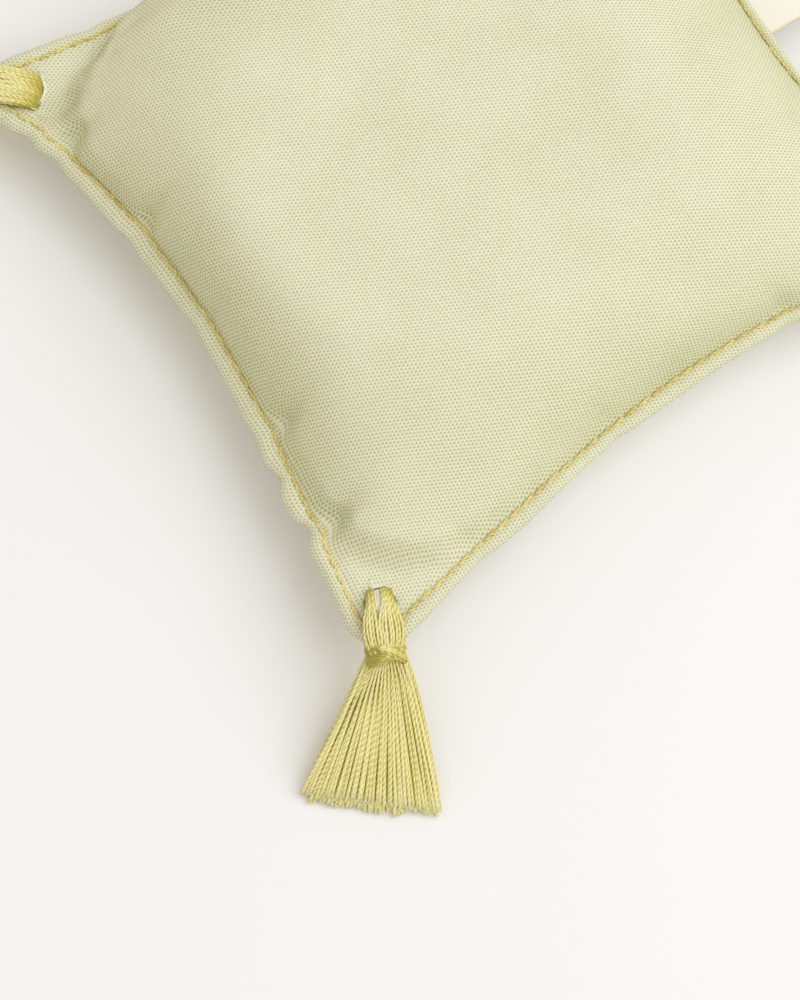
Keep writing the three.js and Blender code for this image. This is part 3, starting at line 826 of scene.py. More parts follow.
class SachetColours(bpy.types.PropertyGroup):
    cloth_light: colour_property("Cloth, light threads", "Cream threads of the cloth", (0.905, 0.873, 0.70))
    cloth_dark: colour_property("Cloth, dark threads", "Green threads of the cloth", (0.50, 0.515, 0.28))
    # Light and dark of the golden thread and the yarn are lit crowns and shaded grooves: painted highlight
    # and painted shade, with random tone between them.
    gold_light: colour_property("Stitching, light", "Crown of the golden thread", (1.00, 0.85, 0.33))
    gold_dark: colour_property("Stitching, dark", "Grooves of the golden thread", (0.58, 0.41, 0.09))
    seam: colour_property("Closing seam", "Thread of the closing seam", (0.78, 0.77, 0.56))
    yarn_light: colour_property("Yarn, light", "Crown of the tassel yarn", (1.00, 0.94, 0.50))
    yarn_dark: colour_property("Yarn, dark", "Grooves of the tassel yarn", (0.72, 0.59, 0.12))
    # Deep olive where the amount falls below zero: painted shade in the holes, between strands and on one
    # side of each tie; the tie's darker tone uses it too.
    yarn_painted_shade: colour_property("Yarn, pressed", "Yarn in holes and under ties", (0.47, 0.415, 0.085))
    label: colour_property("Label", "Tape of the label", (0.95, 0.90, 0.82))
    label_edge: colour_property("Label edge", "Edge of the label", (0.93, 0.78, 0.56))
    fray: colour_property("Fray", "Loose fibres at the holes", (0.97, 0.96, 0.89))
    wadding: colour_property("Wadding", "Filling under the cloth", (0.85, 0.85, 0.82))
    lavender: colour_property("Lavender", "Dried buds", (0.20, 0.17, 0.34))
    floor: colour_property("Floor", "Pale floor under the sachet", (0.96, 0.945, 0.975))


class SACHET_OT_cover(bpy.types.Operator):
    """Sew, fill and settle the front and back of the cover"""

    bl_idname = "sachet.cover"
    bl_label = "Make cover"

    def execute(self, context):
        sizes = sizes_of(context)
        colours = colours_of(context)
        cloth = woven("Cloth", colours.cloth_light, colours.cloth_dark, sizes.weave_across, sizes.weave_along)
        coarse = Seam(sizes, sizes.cells)
        fine = Seam(sizes, sizes.cells * 2)
        for side, way in (("front", 1), ("back", -1)):
            settled = self.eased(coarse, self.settled(coarse, way))
            if way > 0:
                settled = self.pressed(coarse, settled, np.random.default_rng(sizes.seed + 3))
            panel, cut = self.panel(fine, settled, way, side + "_cloth")
            self.finish_panel(panel, fine, sizes)
            dress(panel, cloth, "cloth", "cushion", side + "_panel")
        return {"FINISHED"}

    def settled(self, seam, way):
        """The cloth blown up between its drawn-in seams, as a grid of points over the seam plane."""
        flat = seam.patch(seam.flat_sides)
        sewn = seam.patch(seam.sewn_sides)
        m = seam.steps
        bulge = 1 - np.linspace(-1.0, 1.0, m + 1) ** 2
        bulge = bulge[:, None] * bulge[None]
        obj = added(bpy.ops.mesh.primitive_grid_add, x_subdivisions=m, y_subdivisions=m, size=2.0)
        mesh = obj.data
        index = np.rint((vertex_places(mesh)[:, :2] + 1) / 2 * m).astype(int)
        i, j = index[:, 0], index[:, 1]
        begun = lifted(flat[i, j], bulge[i, j] * 1.5 * MM * way)
        mesh.vertices.foreach_set("co", (begun * SIM_SCALE).ravel())
        if way < 0:
            mesh.flip_normals()
        rim = (i == 0) | (j == 0) | (i == m) | (j == m)
        ear = (seam.ear_margin()[i, j] < 0) & ~rim
        ended = lifted(sewn[i, j], EAR_RISE * way * ear)
        obj.shape_key_add(name="Cut")
        key = obj.shape_key_add(name="Sewn")
        key.data.foreach_set("co", (ended * SIM_SCALE).ravel())
        key.value = 0.0
        key.keyframe_insert("value", frame=1)
        key.value = 1.0
        key.keyframe_insert("value", frame=SIM_DRAWN_IN_FRAME)
        held = obj.vertex_groups.new(name="Held")
        held.add([int(k) for k in np.flatnonzero(rim | ear)], 1.0, "REPLACE")
        self.simulate(obj, seam, way)
        grid = np.zeros((m + 1, m + 1, 3))
        grid[i, j] = vertex_places(obj.data) / SIM_SCALE
        bpy.data.objects.remove(obj)
        if not np.isfinite(grid).all() or np.abs(grid).max() > SIM_LIMIT:
            raise RuntimeError("the cloth simulation did not settle")
        return grid

    def simulate(self, obj, seam, way):
        """Draws in, blows up and settles the cloth, the back one on a floor, and applies the result."""
        floor = self.sim_floor(seam) if way < 0 else None
        choose(obj)
        bpy.ops.object.modifier_add(type="CLOTH")
        cloth = obj.modifiers[-1]
        for key, value in SIM_SETTINGS.items():
            setattr(cloth.settings, key, value)
        cloth.settings.effector_weights.gravity = 0.0
        cloth.collision_settings.use_collision = way < 0
        cloth.collision_settings.distance_min = SIM_GAP
        cloth.collision_settings.collision_quality = 3
        cloth.point_cache.frame_start = 1
        cloth.point_cache.frame_end = SIM_FRAMES
        for step in range(1, SIM_FRAMES + 1):
            bpy.context.scene.frame_set(step)
        bpy.ops.object.convert(target="MESH")
        bpy.context.scene.frame_set(1)
        if floor is not None:
            bpy.data.objects.remove(floor)

    def sim_floor(self, seam):
        depth = (seam.height - STITCH_HEIGHT) * SIM_SCALE
        floor = added(bpy.ops.mesh.primitive_plane_add, size=4.0, location=(0.0, 0.0, -depth))
        bpy.ops.object.modifier_add(type="COLLISION")
        floor.collision.thickness_outer = SIM_GAP
        return floor

    def eased(self, seam, grid):
        """Evens out the fan of small folds that the simulation leaves inside each corner."""
        ear = seam.ear_margin()[1:-1, 1:-1] < 0
        for hole in seam.holes:
            away = np.linalg.norm(grid[1:-1, 1:-1, :2] - hole[:2], axis=2)
            share = 0.5 * clipped((FAN_REACH - away) / FAN_FADE) * ~ear
            for _ in range(FAN_ROUNDS):
                level = grid[..., 2]
                if hole[0] * hole[1] > 0:
                    mean = (level[2:, :-2] + level[:-2, 2:]) / 2
                else:
                    mean = (level[2:, 2:] + level[:-2, :-2]) / 2
                grid[1:-1, 1:-1, 2] += share * (mean - level[1:-1, 1:-1])
        return grid

    def pressed(self, seam, grid, rng):
        """The crown as it lies after packing: steep at its foot, level over the middle and a little lumpy."""
        across = np.linspace(0.0, 1.0, len(grid))[:, None] + np.zeros(len(grid))
        onward = across.T
        shares = np.stack([across, onward, 1 - across, 1 - onward])
        weights = 1 / (shares + 0.03) ** 2
        gain = np.tensordot(CROWN_GAINS, weights, 1) / weights.sum(axis=0)
        raw = np.maximum(grid[..., 2], 0.0)
        margin = np.maximum(seam.ear_margin(), 0.0)
        step = EAR_STEP * (1 - np.exp(-margin / EAR_STEP_RUN)) * np.exp(-margin / EAR_STEP_FADE)
        rise = (raw + step * clipped(raw / MM)) * gain
        level = rise / (1 + (rise / CROWN_HEIGHT) ** CROWN_POWER) ** (1 / CROWN_POWER)
        share = clipped(level / CROWN_HEIGHT)
        lumps = np.zeros_like(level)
        for _ in range(CROWN_LUMPS):
            spot = rng.uniform(-LUMP_SPREAD, LUMP_SPREAD, 2) * MM
            reach = rng.uniform(*LUMP_REACH) * MM
            away = np.linalg.norm(grid[..., :2] - spot, axis=2)
            lumps += rng.normal(0.0, LUMP_HEIGHT) * MM * bell(away / reach)
        near = clipped(1 - shares / 0.4) ** 2
        lean = CROWN_LEAN * (1 - np.exp(-level / CROWN_LEAN_RISE))
        middle = clipped((np.minimum(across, 1 - across) - OVERHANG_SIDES[0]) / OVERHANG_SIDES[1])
        over = clipped((onward - OVERHANG_BACK[0]) / OVERHANG_BACK[1]) * middle
        pressed = grid.copy()
        pressed[..., 0] += lean * (near[0] - near[2])
        pressed[..., 1] += lean * (near[1] - near[3]) + BACK_OVERHANG * over * 4 * share * (1 - share)
        pressed[..., 2] = level + lumps * share**2
        return pressed

    def panel(self, seam, settled, way, name):
        """The finished sheet: the settled cloth, its puckers, and the flange folded under at its edge."""
        m = seam.steps
        sizes = seam.sizes
        grid = refined(settled)
        flat = seam.patch(seam.flat_sides)
        across, onward = seam.ring_places()
        grid[across, onward, :2] = seam.ring
        grid[across, onward, 2] = 0.0
        grid = self.puckered(seam, grid, way)
        grid[..., 2] = np.maximum(grid[..., 2] + seam.height + STITCH_HEIGHT * way, 0.03 * MM)
        points = [grid.reshape(-1, 3)]
        cuts = [flat.reshape(-1, 2)]
        index = np.arange((m + 1) ** 2).reshape(m + 1, m + 1)
        faces = [grid_faces(m + 1, m + 1)]
        before = index[across, onward]
        count = (m + 1) ** 2
        run = 0.0
        last = (0.0, STITCH_HEIGHT)
        for share, height in FLANGE_PROFILE:
            out = share * sizes.flange
            level = height * MM
            run += math.hypot(out - last[0], level - last[1])
            last = (out, level)
            row, cut = self.flange_row(seam, out, level, run, way)
            points.append(row)
            cuts.append(cut)
            after = np.arange(count, count + 4 * m)
            quads = (before, np.roll(before, -1), np.roll(after, -1), after)
            faces.append(np.stack(quads, axis=1)[:, ::-1])
            before = after
            count += 4 * m
        faces = np.concatenate(faces)
        if way < 0:
            faces = faces[:, ::-1]
        flat = np.concatenate(cuts)[faces.ravel()] * FLAT_SCALE
        # The slope attribute sets the painted shade: from the steepness on the cloth, and a fixed share on
        # the folded edge.
        slope = np.concatenate([self.steepness(grid).ravel(), np.full(count - (m + 1) ** 2, FLANGE_SHADE_SHARE)])
        return mesh_object(name, np.concatenate(points), faces, flat, {"slope": slope}), cuts[-1]

    def steepness(self, grid):
        """How steep the cloth stands, from 0 where it is level to 1, which sets how much painted shade the
        cloth gets.
        """
        return clipped(FOLD_SHADE_GAIN * (1 - np.abs(grid_normals(grid)[..., 2])))

    def puckered(self, seam, grid, way):
        """Pulls the cloth in beside each pucker, and carries the seam's waves into it."""
        m = seam.steps
        spacing = seam.length / (4 * m)
        rows = int(PUCKER_REACH / spacing)
        normal = grid_normals(grid)
        move = np.zeros_like(grid)
        across, onward = seam.ring_places()
        inward = ((1, 0), (0, 1), (-1, 0), (0, -1))
        for side in range(4):
            ring = slice(side * m, (side + 1) * m)
            for row in range(rows):
                depth = row * spacing
                i = across[ring] + inward[side][0] * row
                j = onward[ring] + inward[side][1] * row
                dent = PUCKER_DENT * (depth / PUCKER_INSIDE) * math.exp(1 - depth / PUCKER_INSIDE)
                carry = math.exp(-depth / WAVE_CARRY)
                pinch = seam.dent[ring]
                step = -dent * pinch[:, None] * normal[i, j] * np.array([1.0, 1.0, 0.7])
                step[:, :2] -= PUCKER_PULL * carry * pinch[:, None] * seam.outward[ring]
                step[:, 2] += carry * (seam.wave[ring] + way * seam.opening[ring])
                near = row <= np.minimum(np.arange(m), m - np.arange(m))
                move[i[near], j[near]] = step[near]
        return grid + move

    def flange_row(self, seam, out, level, run, way):
        """One ring of the flange, that far outside the stitch line and over the seam plane."""
        share = clipped(out / seam.sizes.flange)
        pull = PUCKER_PULL * seam.dent + (NOTCH_PULL * seam.notch - DENT_PUSH * seam.dent) * MM * share
        short, long = SWELL_LENGTHS
        swell = EDGE_SWELL * share * np.sin(seam.along / short + 1.3 * np.sin(seam.along / long))
        flat = seam.ring + seam.outward * (out * seam.broad - pull + swell * seam.sizes.pucker)[:, None]
        flattened = 1 - NOTCH_FLATTENING * np.clip(seam.notch, 0.0, 1.2) * share
        ripple = STITCH_RIPPLE * (1 - share) * np.cos(2 * np.pi * seam.along / seam.sizes.stitch_length)
        level = level * (flattened + ripple) + seam.opening
        row = lifted(flat, seam.height + way * level + seam.wave * (1 + 0.7 * share))
        return row, seam.flat_ring + seam.flat_outward * run

    def finish_panel(self, panel, seam, sizes):
        """Gives the sheet its thickness and punches the corner holes."""
        modify(panel, "SOLIDIFY", thickness=sizes.cloth, offset=-1.0)
        for hole, share in zip(seam.holes, HOLE_SHARES):
            punch = added(
                bpy.ops.mesh.primitive_cylinder_add,
                vertices=40,
                radius=sizes.hole_radius * share,
                depth=14 * MM,
                location=tuple(hole),
            )
            modify(panel, "BOOLEAN", operation="DIFFERENCE", solver="EXACT", object=punch)
            bpy.data.objects.remove(punch)
        panel.data.shade_smooth()


class SACHET_OT_stitching(bpy.types.Operator):
    """Lay the topstitching on both faces and the thread of the closing seam between them"""

    bl_idname = "sachet.stitching"
    bl_label = "Make stitching"

    def execute(self, context):
        sizes = sizes_of(context)
        colours = colours_of(context)
        seam = Seam(sizes, sizes.cells * 4)
        light, dark = colours.gold_light, colours.gold_dark
        gold = stranded("Golden thread", light, dark, dark, 1200.0, 0.00012, 0.26, 0.0)
        pale = stranded("Seam thread", colours.seam, colours.seam, colours.seam, 900.0, 0.00005, 0.2, 0.0)
        count = round(seam.length / sizes.stitch_length)
        rng = np.random.default_rng(sizes.seed)
        for side, way in (("needle", 1), ("bobbin", -1)):
            strands = Strands()
            for k in range(count):
                self.stitch(strands, seam, (k + 0.5 * (way < 0)) / count, 1.0 / count, way, rng)
            dress(strands.make(side + "_stitches"), gold, "gold_thread", "cushion", side + "_thread")
        strands = Strands()
        count = round(seam.length / CLOSING_STITCH)
        for k in range(count):
            place = seam.length * (k + 0.5) / count
            if abs(place - seam.label_place()) > sizes.label_width / 2 + 2 * MM:
                self.hidden_stitch(strands, seam, k / count, 1.0 / count)
        dress(strands.make("closing_stitches"), pale, "seam_thread", "cushion", "closing_seam_thread")
        return {"FINISHED"}

    def spot(self, seam, share, out):
        """Points beside the stitch line, with the seam's own waves and puckers."""
        place = np.mod(share, 1.0) * seam.length
        looped = np.concatenate([seam.along, [seam.length]])

        def at(values):
            return np.interp(place, looped, np.concatenate([values, values[:1]]))

        pull = out * at(seam.broad) - PUCKER_PULL * at(seam.dent)
        x = at(seam.ring[:, 0]) + at(seam.outward[:, 0]) * pull
        y = at(seam.ring[:, 1]) + at(seam.outward[:, 1]) * pull
        return np.stack([x, y], axis=1), at(seam.wave), at(seam.opening)

    def stitch(self, strands, seam, start, pitch, way, rng):
        """One slanting stitch, which dips into the cloth at both ends and all but meets the next."""
        t = np.linspace(0.0, 1.0, 11)
        slant = STITCH_SLANT * (0.5 - t) + 0.05 * MM * rng.standard_normal()
        flat, wave, opening = self.spot(seam, start + pitch * (1.09 * t - 0.045), STITCH_OUT + slant)
        arch = smooth_step(clipped(np.minimum(t, 1 - t) / 0.20))
        height = seam.height + wave + way * (opening + STITCH_HEIGHT - STITCH_SUNK + STITCH_ARCH * arch)
        broad = np.interp(start * seam.length, seam.along, seam.broad)
        radius = seam.sizes.stitch_radius * (0.4 + 0.6 * min(1.0, broad))
        taper = 0.60 + 0.40 * arch
        strands.add(lifted(flat, height), UP, radius, THREAD_PITCH, rng.uniform(), rng.uniform(), taper)

    def hidden_stitch(self, strands, seam, start, pitch):
        t = np.linspace(0.0, 1.0, 5)
        flat, wave, _ = self.spot(seam, start + pitch * (0.06 + 0.88 * t), CLOSING_OUT)
        strands.add(lifted(flat, seam.height + wave), UP, CLOSING_RADIUS, CLOSING_PITCH)


class SACHET_OT_filling(bpy.types.Operator):
    """Lay the two pads of wadding and the lavender buds inside the cover"""

    bl_idname = "sachet.filling"
    bl_label = "Make filling"

    def execute(self, context):
        sizes = sizes_of(context)
        colours = colours_of(context)
        rng = np.random.default_rng(sizes.seed + 1)
        fluff = plain("Wadding", colours.wadding, 1.0, 900.0, 0.8)
        for side, way in (("front", 1), ("back", -1)):
            pad = self.pad(side, way, rng)
            dress(pad, fluff, "wadding", "cushion", side + "_wadding")
        buds = self.buds(rng)
        dried = plain("Lavender", colours.lavender, 0.9, 1500.0, 1.0)
        dress(buds, dried, "lavender", "cushion", "lavender_buds")
        return {"FINISHED"}

    def pad(self, side, way, rng):
        """A pad of the CAD pad's form, with a hollow for the buds and a fibrous face."""
        low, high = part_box(side + "_wadding")
        pad = added(bpy.ops.mesh.primitive_uv_sphere_add, segments=96, ring_count=48, radius=1.0)
        pad.name = side + "_fleece"
        pad.data.name = pad.name
        points = vertex_places(pad.data)
        plane = np.hypot(points[:, 0], points[:, 1])
        square = np.maximum(np.abs(points[:, 0]), np.abs(points[:, 1])) + 1e-9
        stretch = 1 + 0.22 * (plane / square - 1)
        half = np.array([high.x - low.x, high.y - low.y]) / 2
        middle = np.array([high.x + low.x, high.y + low.y]) / 2
        flat = middle + points[:, :2] * stretch[:, None] * half * PAD_SHARE
        radius = np.hypot(flat[:, 0], flat[:, 1])
        outer = high.z - low.z - 0.4 * MM
        hollow = HOLLOW_DEPTH * clipped(1 - (radius / HOLLOW_RADIUS) ** 2)
        upper = np.abs(points[:, 2]) ** 0.75 * outer * PAD_SHARE
        lower = hollow + 0.3 * MM
        facing = points[:, 2] * way > 0
        level = np.where(facing, np.maximum(upper, lower + 0.6 * MM), lower)
        level[np.abs(points[:, 2]) < 1e-6] = 0.5 * MM
        level = level + 0.12 * MM * rng.standard_normal(len(level)) * facing
        base = low.z if way > 0 else high.z
        pad.data.vertices.foreach_set("co", lifted(flat, base + way * level).ravel())
        pad.data.update()
        choose(pad)
        bpy.ops.object.shade_smooth()
        return pad

    def buds(self, rng):
        """Dried buds, heaped in the hollow between the pads."""
        low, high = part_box("lavender_buds")
        centre = (low + high) / 2
        model = added(bpy.ops.mesh.primitive_uv_sphere_add, segments=8, ring_count=6, radius=1.0)
        base = vertex_places(model.data)
        quads = [list(face.vertices) for face in model.data.polygons]
        bpy.data.objects.remove(model)
        ridge = 1 + 0.16 * np.cos(4 * np.arctan2(base[:, 1], base[:, 0]))
        base[:, :2] *= ridge[:, None] * (1 - 0.35 * base[:, 2:3])
        points = []
        faces = []
        for _ in range(BUD_COUNT):
            length = rng.uniform(1.7, 2.4) * MM
            width = rng.uniform(0.7, 0.95) * MM
            spread = BUD_SPREAD * math.sqrt(rng.uniform())
            angle = rng.uniform(0, 2 * math.pi)
            room = max(0.0, 3.6 * MM * (1 - (spread / (21 * MM)) ** 2))
            spot = np.array([math.cos(angle) * spread, math.sin(angle) * spread, rng.uniform(-room, room)])
            turn = Matrix.Rotation(rng.uniform(0, 6.28), 3, "Z")
            turn = turn @ Matrix.Rotation(rng.uniform(1.1, 2.0), 3, "X")
            placed = (base * (width, width, length)) @ np.array(turn).T + spot + np.array(centre)
            faces.extend([[k + len(points) * len(base) for k in quad] for quad in quads])
            points.append(placed)
        return mesh_object("dried_buds", np.concatenate(points), faces)


class SACHET_OT_label(bpy.types.Operator):
    """Fold the bare tape label and sew it into the right-hand seam"""

    bl_idname = "sachet.label"
    bl_label = "Make label"

    def execute(self, context):
        sizes = sizes_of(context)
        colours = colours_of(context)
        half = sizes.label_reach + sizes.label_held
        label = added(bpy.ops.mesh.primitive_grid_add, x_subdivisions=88, y_subdivisions=24, size=2.0)
        label.name = "folded_label"
        label.data.name = label.name
        points = vertex_places(label.data)
        run = points[:, 0] * half
        across = points[:, 1] * sizes.label_width / 2
        placed = self.folded(Seam(sizes, sizes.cells), run, across)
        label.data.vertices.foreach_set("co", placed.ravel())
        corners = np.empty(len(label.data.loops), np.int32)
        label.data.loops.foreach_get("vertex_index", corners)
        layer = label.data.uv_layers.active
        layer.name = "Flat"
        flat = np.stack([run, across], axis=1) * FLAT_SCALE
        layer.data.foreach_set("uv", flat[corners].astype(np.float32).ravel())
        modify(label, "SOLIDIFY", thickness=LABEL_THICKNESS, offset=0.0)
        bpy.ops.object.mode_set(mode="EDIT")
        bpy.ops.mesh.select_all(action="SELECT")
        bpy.ops.mesh.normals_make_consistent(inside=False)
        bpy.ops.object.mode_set(mode="OBJECT")
        bpy.ops.object.shade_smooth_by_angle(angle=math.radians(40))
        dress(label, self.tape(colours, sizes), "label", "cushion", "side_label")
        return {"FINISHED"}

    def folded(self, seam, run, across):
        """Both layers of the tape: run is 0 at the fold, and its sign tells the layers apart."""
        sizes = seam.sizes
        spot = np.argmin(seam.round_distance(seam.label_place()))
        edge = seam.ring[spot] + seam.outward[spot] * sizes.flange * seam.broad[spot]
        out_way = degrees_vector(LABEL_HEADING)
        side_way = np.array([-out_way[1], out_way[0]])
        inside = np.abs(run)
        turn = clipped(inside / LABEL_BEND) * np.pi / 2
        out = sizes.label_reach - inside
        free = clipped(out / sizes.label_reach)
        gape = 0.12 * MM + 0.22 * MM * np.sin(np.pi * free) ** 2
        lift = np.sign(run) * gape * np.sin(turn)
        bent = math.radians(LABEL_FALL)
        fall = bent * free
        reach = np.where(out > 0, sizes.label_reach * np.sin(fall) / bent, out)
        drop = np.where(out > 0, sizes.label_reach * (1 - np.cos(fall)) / bent, 0.0)
        wave = 0.35 * MM * free * np.cos(across / (4.6 * MM) + 0.6)
        flat = edge + np.multiply.outer(reach + lift * np.sin(fall), out_way)
        flat += np.multiply.outer(across + LABEL_SHIFT, side_way)
        return lifted(flat, seam.height + lift * np.cos(fall) - drop + wave)

    def tape(self, colours, sizes):
        """Close weave, warmer in colour along both long edges."""
        graph = Graph("Label tape")
        _, u, v = graph.flat()
        weave = (u * (math.pi / 0.0026)).sine() * (v * (math.pi / 0.0019)).sine()
        band = ((v.size() - (sizes.label_width * 5 - 0.0045)) * 400.0).clamped()
        thread = (weave * 0.18 + 0.5).clamped()
        ground = graph.mix(thread, shade(colours.label, 0.95), shade(colours.label, 1.04))
        graph.set(Base_Color=graph.mix(band * 0.8, ground, shade(colours.label_edge)))
        graph.set(Roughness=0.75, Specular_IOR_Level=0.25)
        graph.bump(weave, 0.00003, 0.7)
        return graph.material


class SACHET_OT_tassels(bpy.types.Operator):
    """Loop, tie and trim a tassel of twisted yarn through each corner hole"""

    bl_idname = "sachet.tassels"
    bl_label = "Make tassels"

    def execute(self, context):
        sizes = sizes_of(context)
        colours = colours_of(context)
        # pressed is the yarn's painted shade colour.
        light, dark, pressed = colours.yarn_light, colours.yarn_dark, colours.yarn_painted_shade
        yarn = stranded("Tassel yarn", light, dark, pressed, 1500.0, 0.00010, 0.38, 1.10)
        fibre = plain("Frayed fibre", colours.fray, 0.9)
        rng = np.random.default_rng(sizes.seed + 2)
        fray = Strands(4)
        for corner in CORNERS:
            self.lay_out(corner)
            body = "tassel_" + corner
            loop = self.loop(sizes, rng).make("loop_yarns_" + corner)
            dress(loop, yarn, "yarn", body + "_head", "tassel_loop_" + corner)
            tie = self.tie(rng).make("tie_yarns_" + corner)
            dress(tie, yarn, "yarn", body + "_head", "tassel_tie_" + corner)
            skirt = self.skirt(sizes, rng).make("skirt_yarns_" + corner)
            dress(skirt, yarn, "yarn", None, "tassel_skirt_" + corner)
            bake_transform(skirt)
            self.lip(fray, sizes, rng)
            if self.parted:
                fibres = self.loose_fibres(sizes, rng).make("loop_fibres_" + corner)
                dress(fibres, fibre, "cloth", body + "_head")
        dress(fray.make("hole_fray"), fibre, "cloth", "cushion")
        return {"FINISHED"}

    def lay_out(self, corner):
        """The tassel's own axes: out along the head, across it and up, and the skirt's line."""
        k = CORNERS.index(corner)
        self.hole = hole_of(corner)
        self.line = unit(np.array(joint(corner + "_lift")["pos_m"]) - self.hole)
        heading = math.degrees(math.atan2(self.line[1], self.line[0]))
        self.out = np.append(degrees_vector(heading + HEAD_TURNS[k]), 0.0)
        self.fall = np.append(degrees_vector(heading + SKIRT_TURNS[k]), 0.0)
        self.across = np.cross(UP, self.out)
        self.wide = np.cross(UP, self.fall)
        self.parted = LOOP_PARTINGS[k]
        self.opening = HOLE_SHARES[k]
        self.width = LOOP_WIDTHS[k]
        self.shift = LOOP_SHIFTS[k]

    def cad_point(self, reach):
        return self.hole + self.line * reach * MM

    def point(self, out, across, up):
        return (
            self.hole
            + np.multiply.outer(out, self.out)
            + np.multiply.outer(across, self.across)
            + np.multiply.outer(up, UP)
        )

    def loop(self, sizes, rng):
        """Yarns from the tie up over the edge, through the hole and back below, in two flat bundles."""
        strands = Strands()
        half = np.array(LOOP_PATH)
        there_and_back = np.concatenate([half, (half * (1, -1))[-2::-1]])
        reach = there_and_back[:, 0]
        sign = np.sign(there_and_back[:, 1])
        for layer, lanes in LOOP_LAYERS:
            lanes = round(lanes * max(1.0, 0.5 * self.width))
            for k in range(lanes):
                share = (k + 0.5 + rng.uniform(-0.12, 0.12)) / lanes * 2 - 1
                apart = self.parted * (0.55 if share > -0.2 else -0.50)
                narrow = share * self.width + apart + self.shift
                broad = share * max(2.72, self.width) + self.shift
                neck = share * 2.05
                widths = [narrow, narrow, broad, broad, neck, neck]
                widths = np.interp(reach, [-1.8, 0.4, 3.0, 5.2, 6.6, 7.6], widths)
                bow = clipped((reach - 3.0) / 3.5) * clipped((8.2 - reach) / 1.5)
                bow = 0.55 * (1 - share * share) * bow
                bow = bow + 0.22 * (1 - share * share) - 0.25 * share**4
                inner = np.minimum(reach, 0.0) * (self.opening - 1 - 0.4 * abs(share) ** 3)
                out = reach + inner - layer * clipped((0.4 - reach) / 2.0)
                up = there_and_back[:, 1] + sign * (layer * clipped((reach + 1.8) / 1.5) + bow)
                across = widths + 0.04 * rng.standard_normal(len(out))
                path = smooth_path(self.point(out * MM, across * MM, up * MM), 34)
                radius = sizes.yarn_radius * rng.uniform(0.80, 0.94)
                # Tone is random per yarn, with painted shade where the yarn bends through the hole, in the
                # middle of its path.
                tone = rng.uniform(-0.2, 0.8) - 4.2 * bell(np.linspace(-1.0, 1.0, len(path)) / 0.26)
                strands.add(path, self.across, radius, sizes.yarn_pitch, rng.uniform(), tone, lead=-np.pi / 2)
        return strands

    def tie(self, rng):
        """A plain winding round the neck and over it two wraps, which cross each other above and below."""
        strands = Strands()
        angle = np.linspace(0.0, 2 * np.pi, 41)
        for wrap, lanes, gap in TIE_WRAPS:
            for lane in range(lanes):
                spread = lane - (lanes - 1) / 2
                swing = np.clip(1.5 * np.cos(angle + 0.25), -1.0, 1.0)
                along = wrap * 0.76 * swing + gap * spread + 0.03 * rng.standard_normal()
                along = along + 0.06 * np.sin(angle + rng.uniform(0, 6))
                cross = np.sin(angle) ** 6
                proud = (-0.18, 0.36, -0.02)[wrap] * (cross if wrap else 1.0)
                proud = proud + 0.20 * (1 - (2 * spread / lanes) ** 2) + 0.05 * rng.standard_normal()
                wide = (TIE_WIDE + proud) * np.cos(angle)
                tall = (TIE_TALL + proud) * np.sin(angle)
                path = self.point(TIE_CENTRE + along * MM, wide * MM, tall * MM)
                # The tie is darker than the other yarn; the crossing wraps get a painted highlight across the
                # middle of the neck, and one side of each tie gets painted shade.
                tone = rng.uniform(-2.3, -0.9) + 1.8 * (wrap > 0) * bell(np.cos(angle) / 0.4)
                tone = tone - 2.8 * bell((np.cos(angle) + 0.65) / 0.35)
                radius = 0.25 * MM * rng.uniform(0.85, 1.1)
                strands.add(path, self.out, radius, THREAD_PITCH, rng.uniform(), tone, lead=-np.pi / 2)
        return strands

    def skirt(self, sizes, rng):
        """Layers of yarn that leave the tie, fan out and sink to the floor, cut almost straight."""
        strands = Strands()
        lanes = sizes.skirt_strands
        start = self.hole + self.out * SKIRT_START
        length = sizes.skirt_reach - SKIRT_START
        t = np.linspace(0.0, 1.0, 14)
        for layer in range(SKIRT_LAYERS):
            for k in range(lanes):
                share = (k + 0.5 + 0.5 * (layer % 2) + rng.uniform(-0.12, 0.12)) / (lanes + 0.5) * 2 - 1
                row = (layer - 1) * 1.15 + (1 - k % 3) * 0.40
                near = share * 2.25 * math.sqrt(max(0.15, 1 - (row / 1.75) ** 2))
                near_up = row * math.sqrt(max(0.10, 1 - share * share))
                far = share * (sizes.skirt_width / MM / 2 - 0.4 * max(share, 0.0)) + rng.uniform(-0.04, 0.04)
                crown = 0.5 * (1 - share * share) * layer / 2
                far_up = 0.30 + 0.33 * layer + crown + rng.uniform(-0.03, 0.24) - self.hole[2] / MM
                longer = (1.0, 0.35, 0.0)[layer] * math.exp(-(((share + 0.2) / 0.75) ** 4))
                trim = longer + 0.45 * share - 0.1 * share * share + rng.normal(0.0, 0.26 - 0.07 * layer)
                reach = length + trim * MM
                wobble = 0.14 * np.sin(t * rng.uniform(4, 8) + rng.uniform(0, 6)) * t * (1 - 0.6 * t)
                across = near + (far - near) * t ** (1.0 - 0.28 * max(share, 0.0)) + wobble
                level = 1 - clipped(t / 0.55)
                sink = t + 0.38 * t * (1 - t) * (1 - 2 * t) - 0.16 * t * (1 - t)
                up = near_up * level + far_up * sink + 0.35 * (layer - 1) * np.sin(np.pi * t)
                path = start + np.multiply.outer(reach * t, self.fall)
                path = path + np.multiply.outer(across * MM, self.wide) + np.multiply.outer(up * MM, UP)
                taper = 0.66 + 0.40 * clipped(t / 0.6)
                # Tone is random per yarn and paler over the last tenth, a painted highlight on the cut ends.
                tone = rng.uniform(-0.45, 0.6) + 1.4 * clipped((t - 0.9) / 0.1)
                strands.add(path, UP, sizes.yarn_radius, sizes.yarn_pitch, rng.uniform(), tone, taper)
        return strands

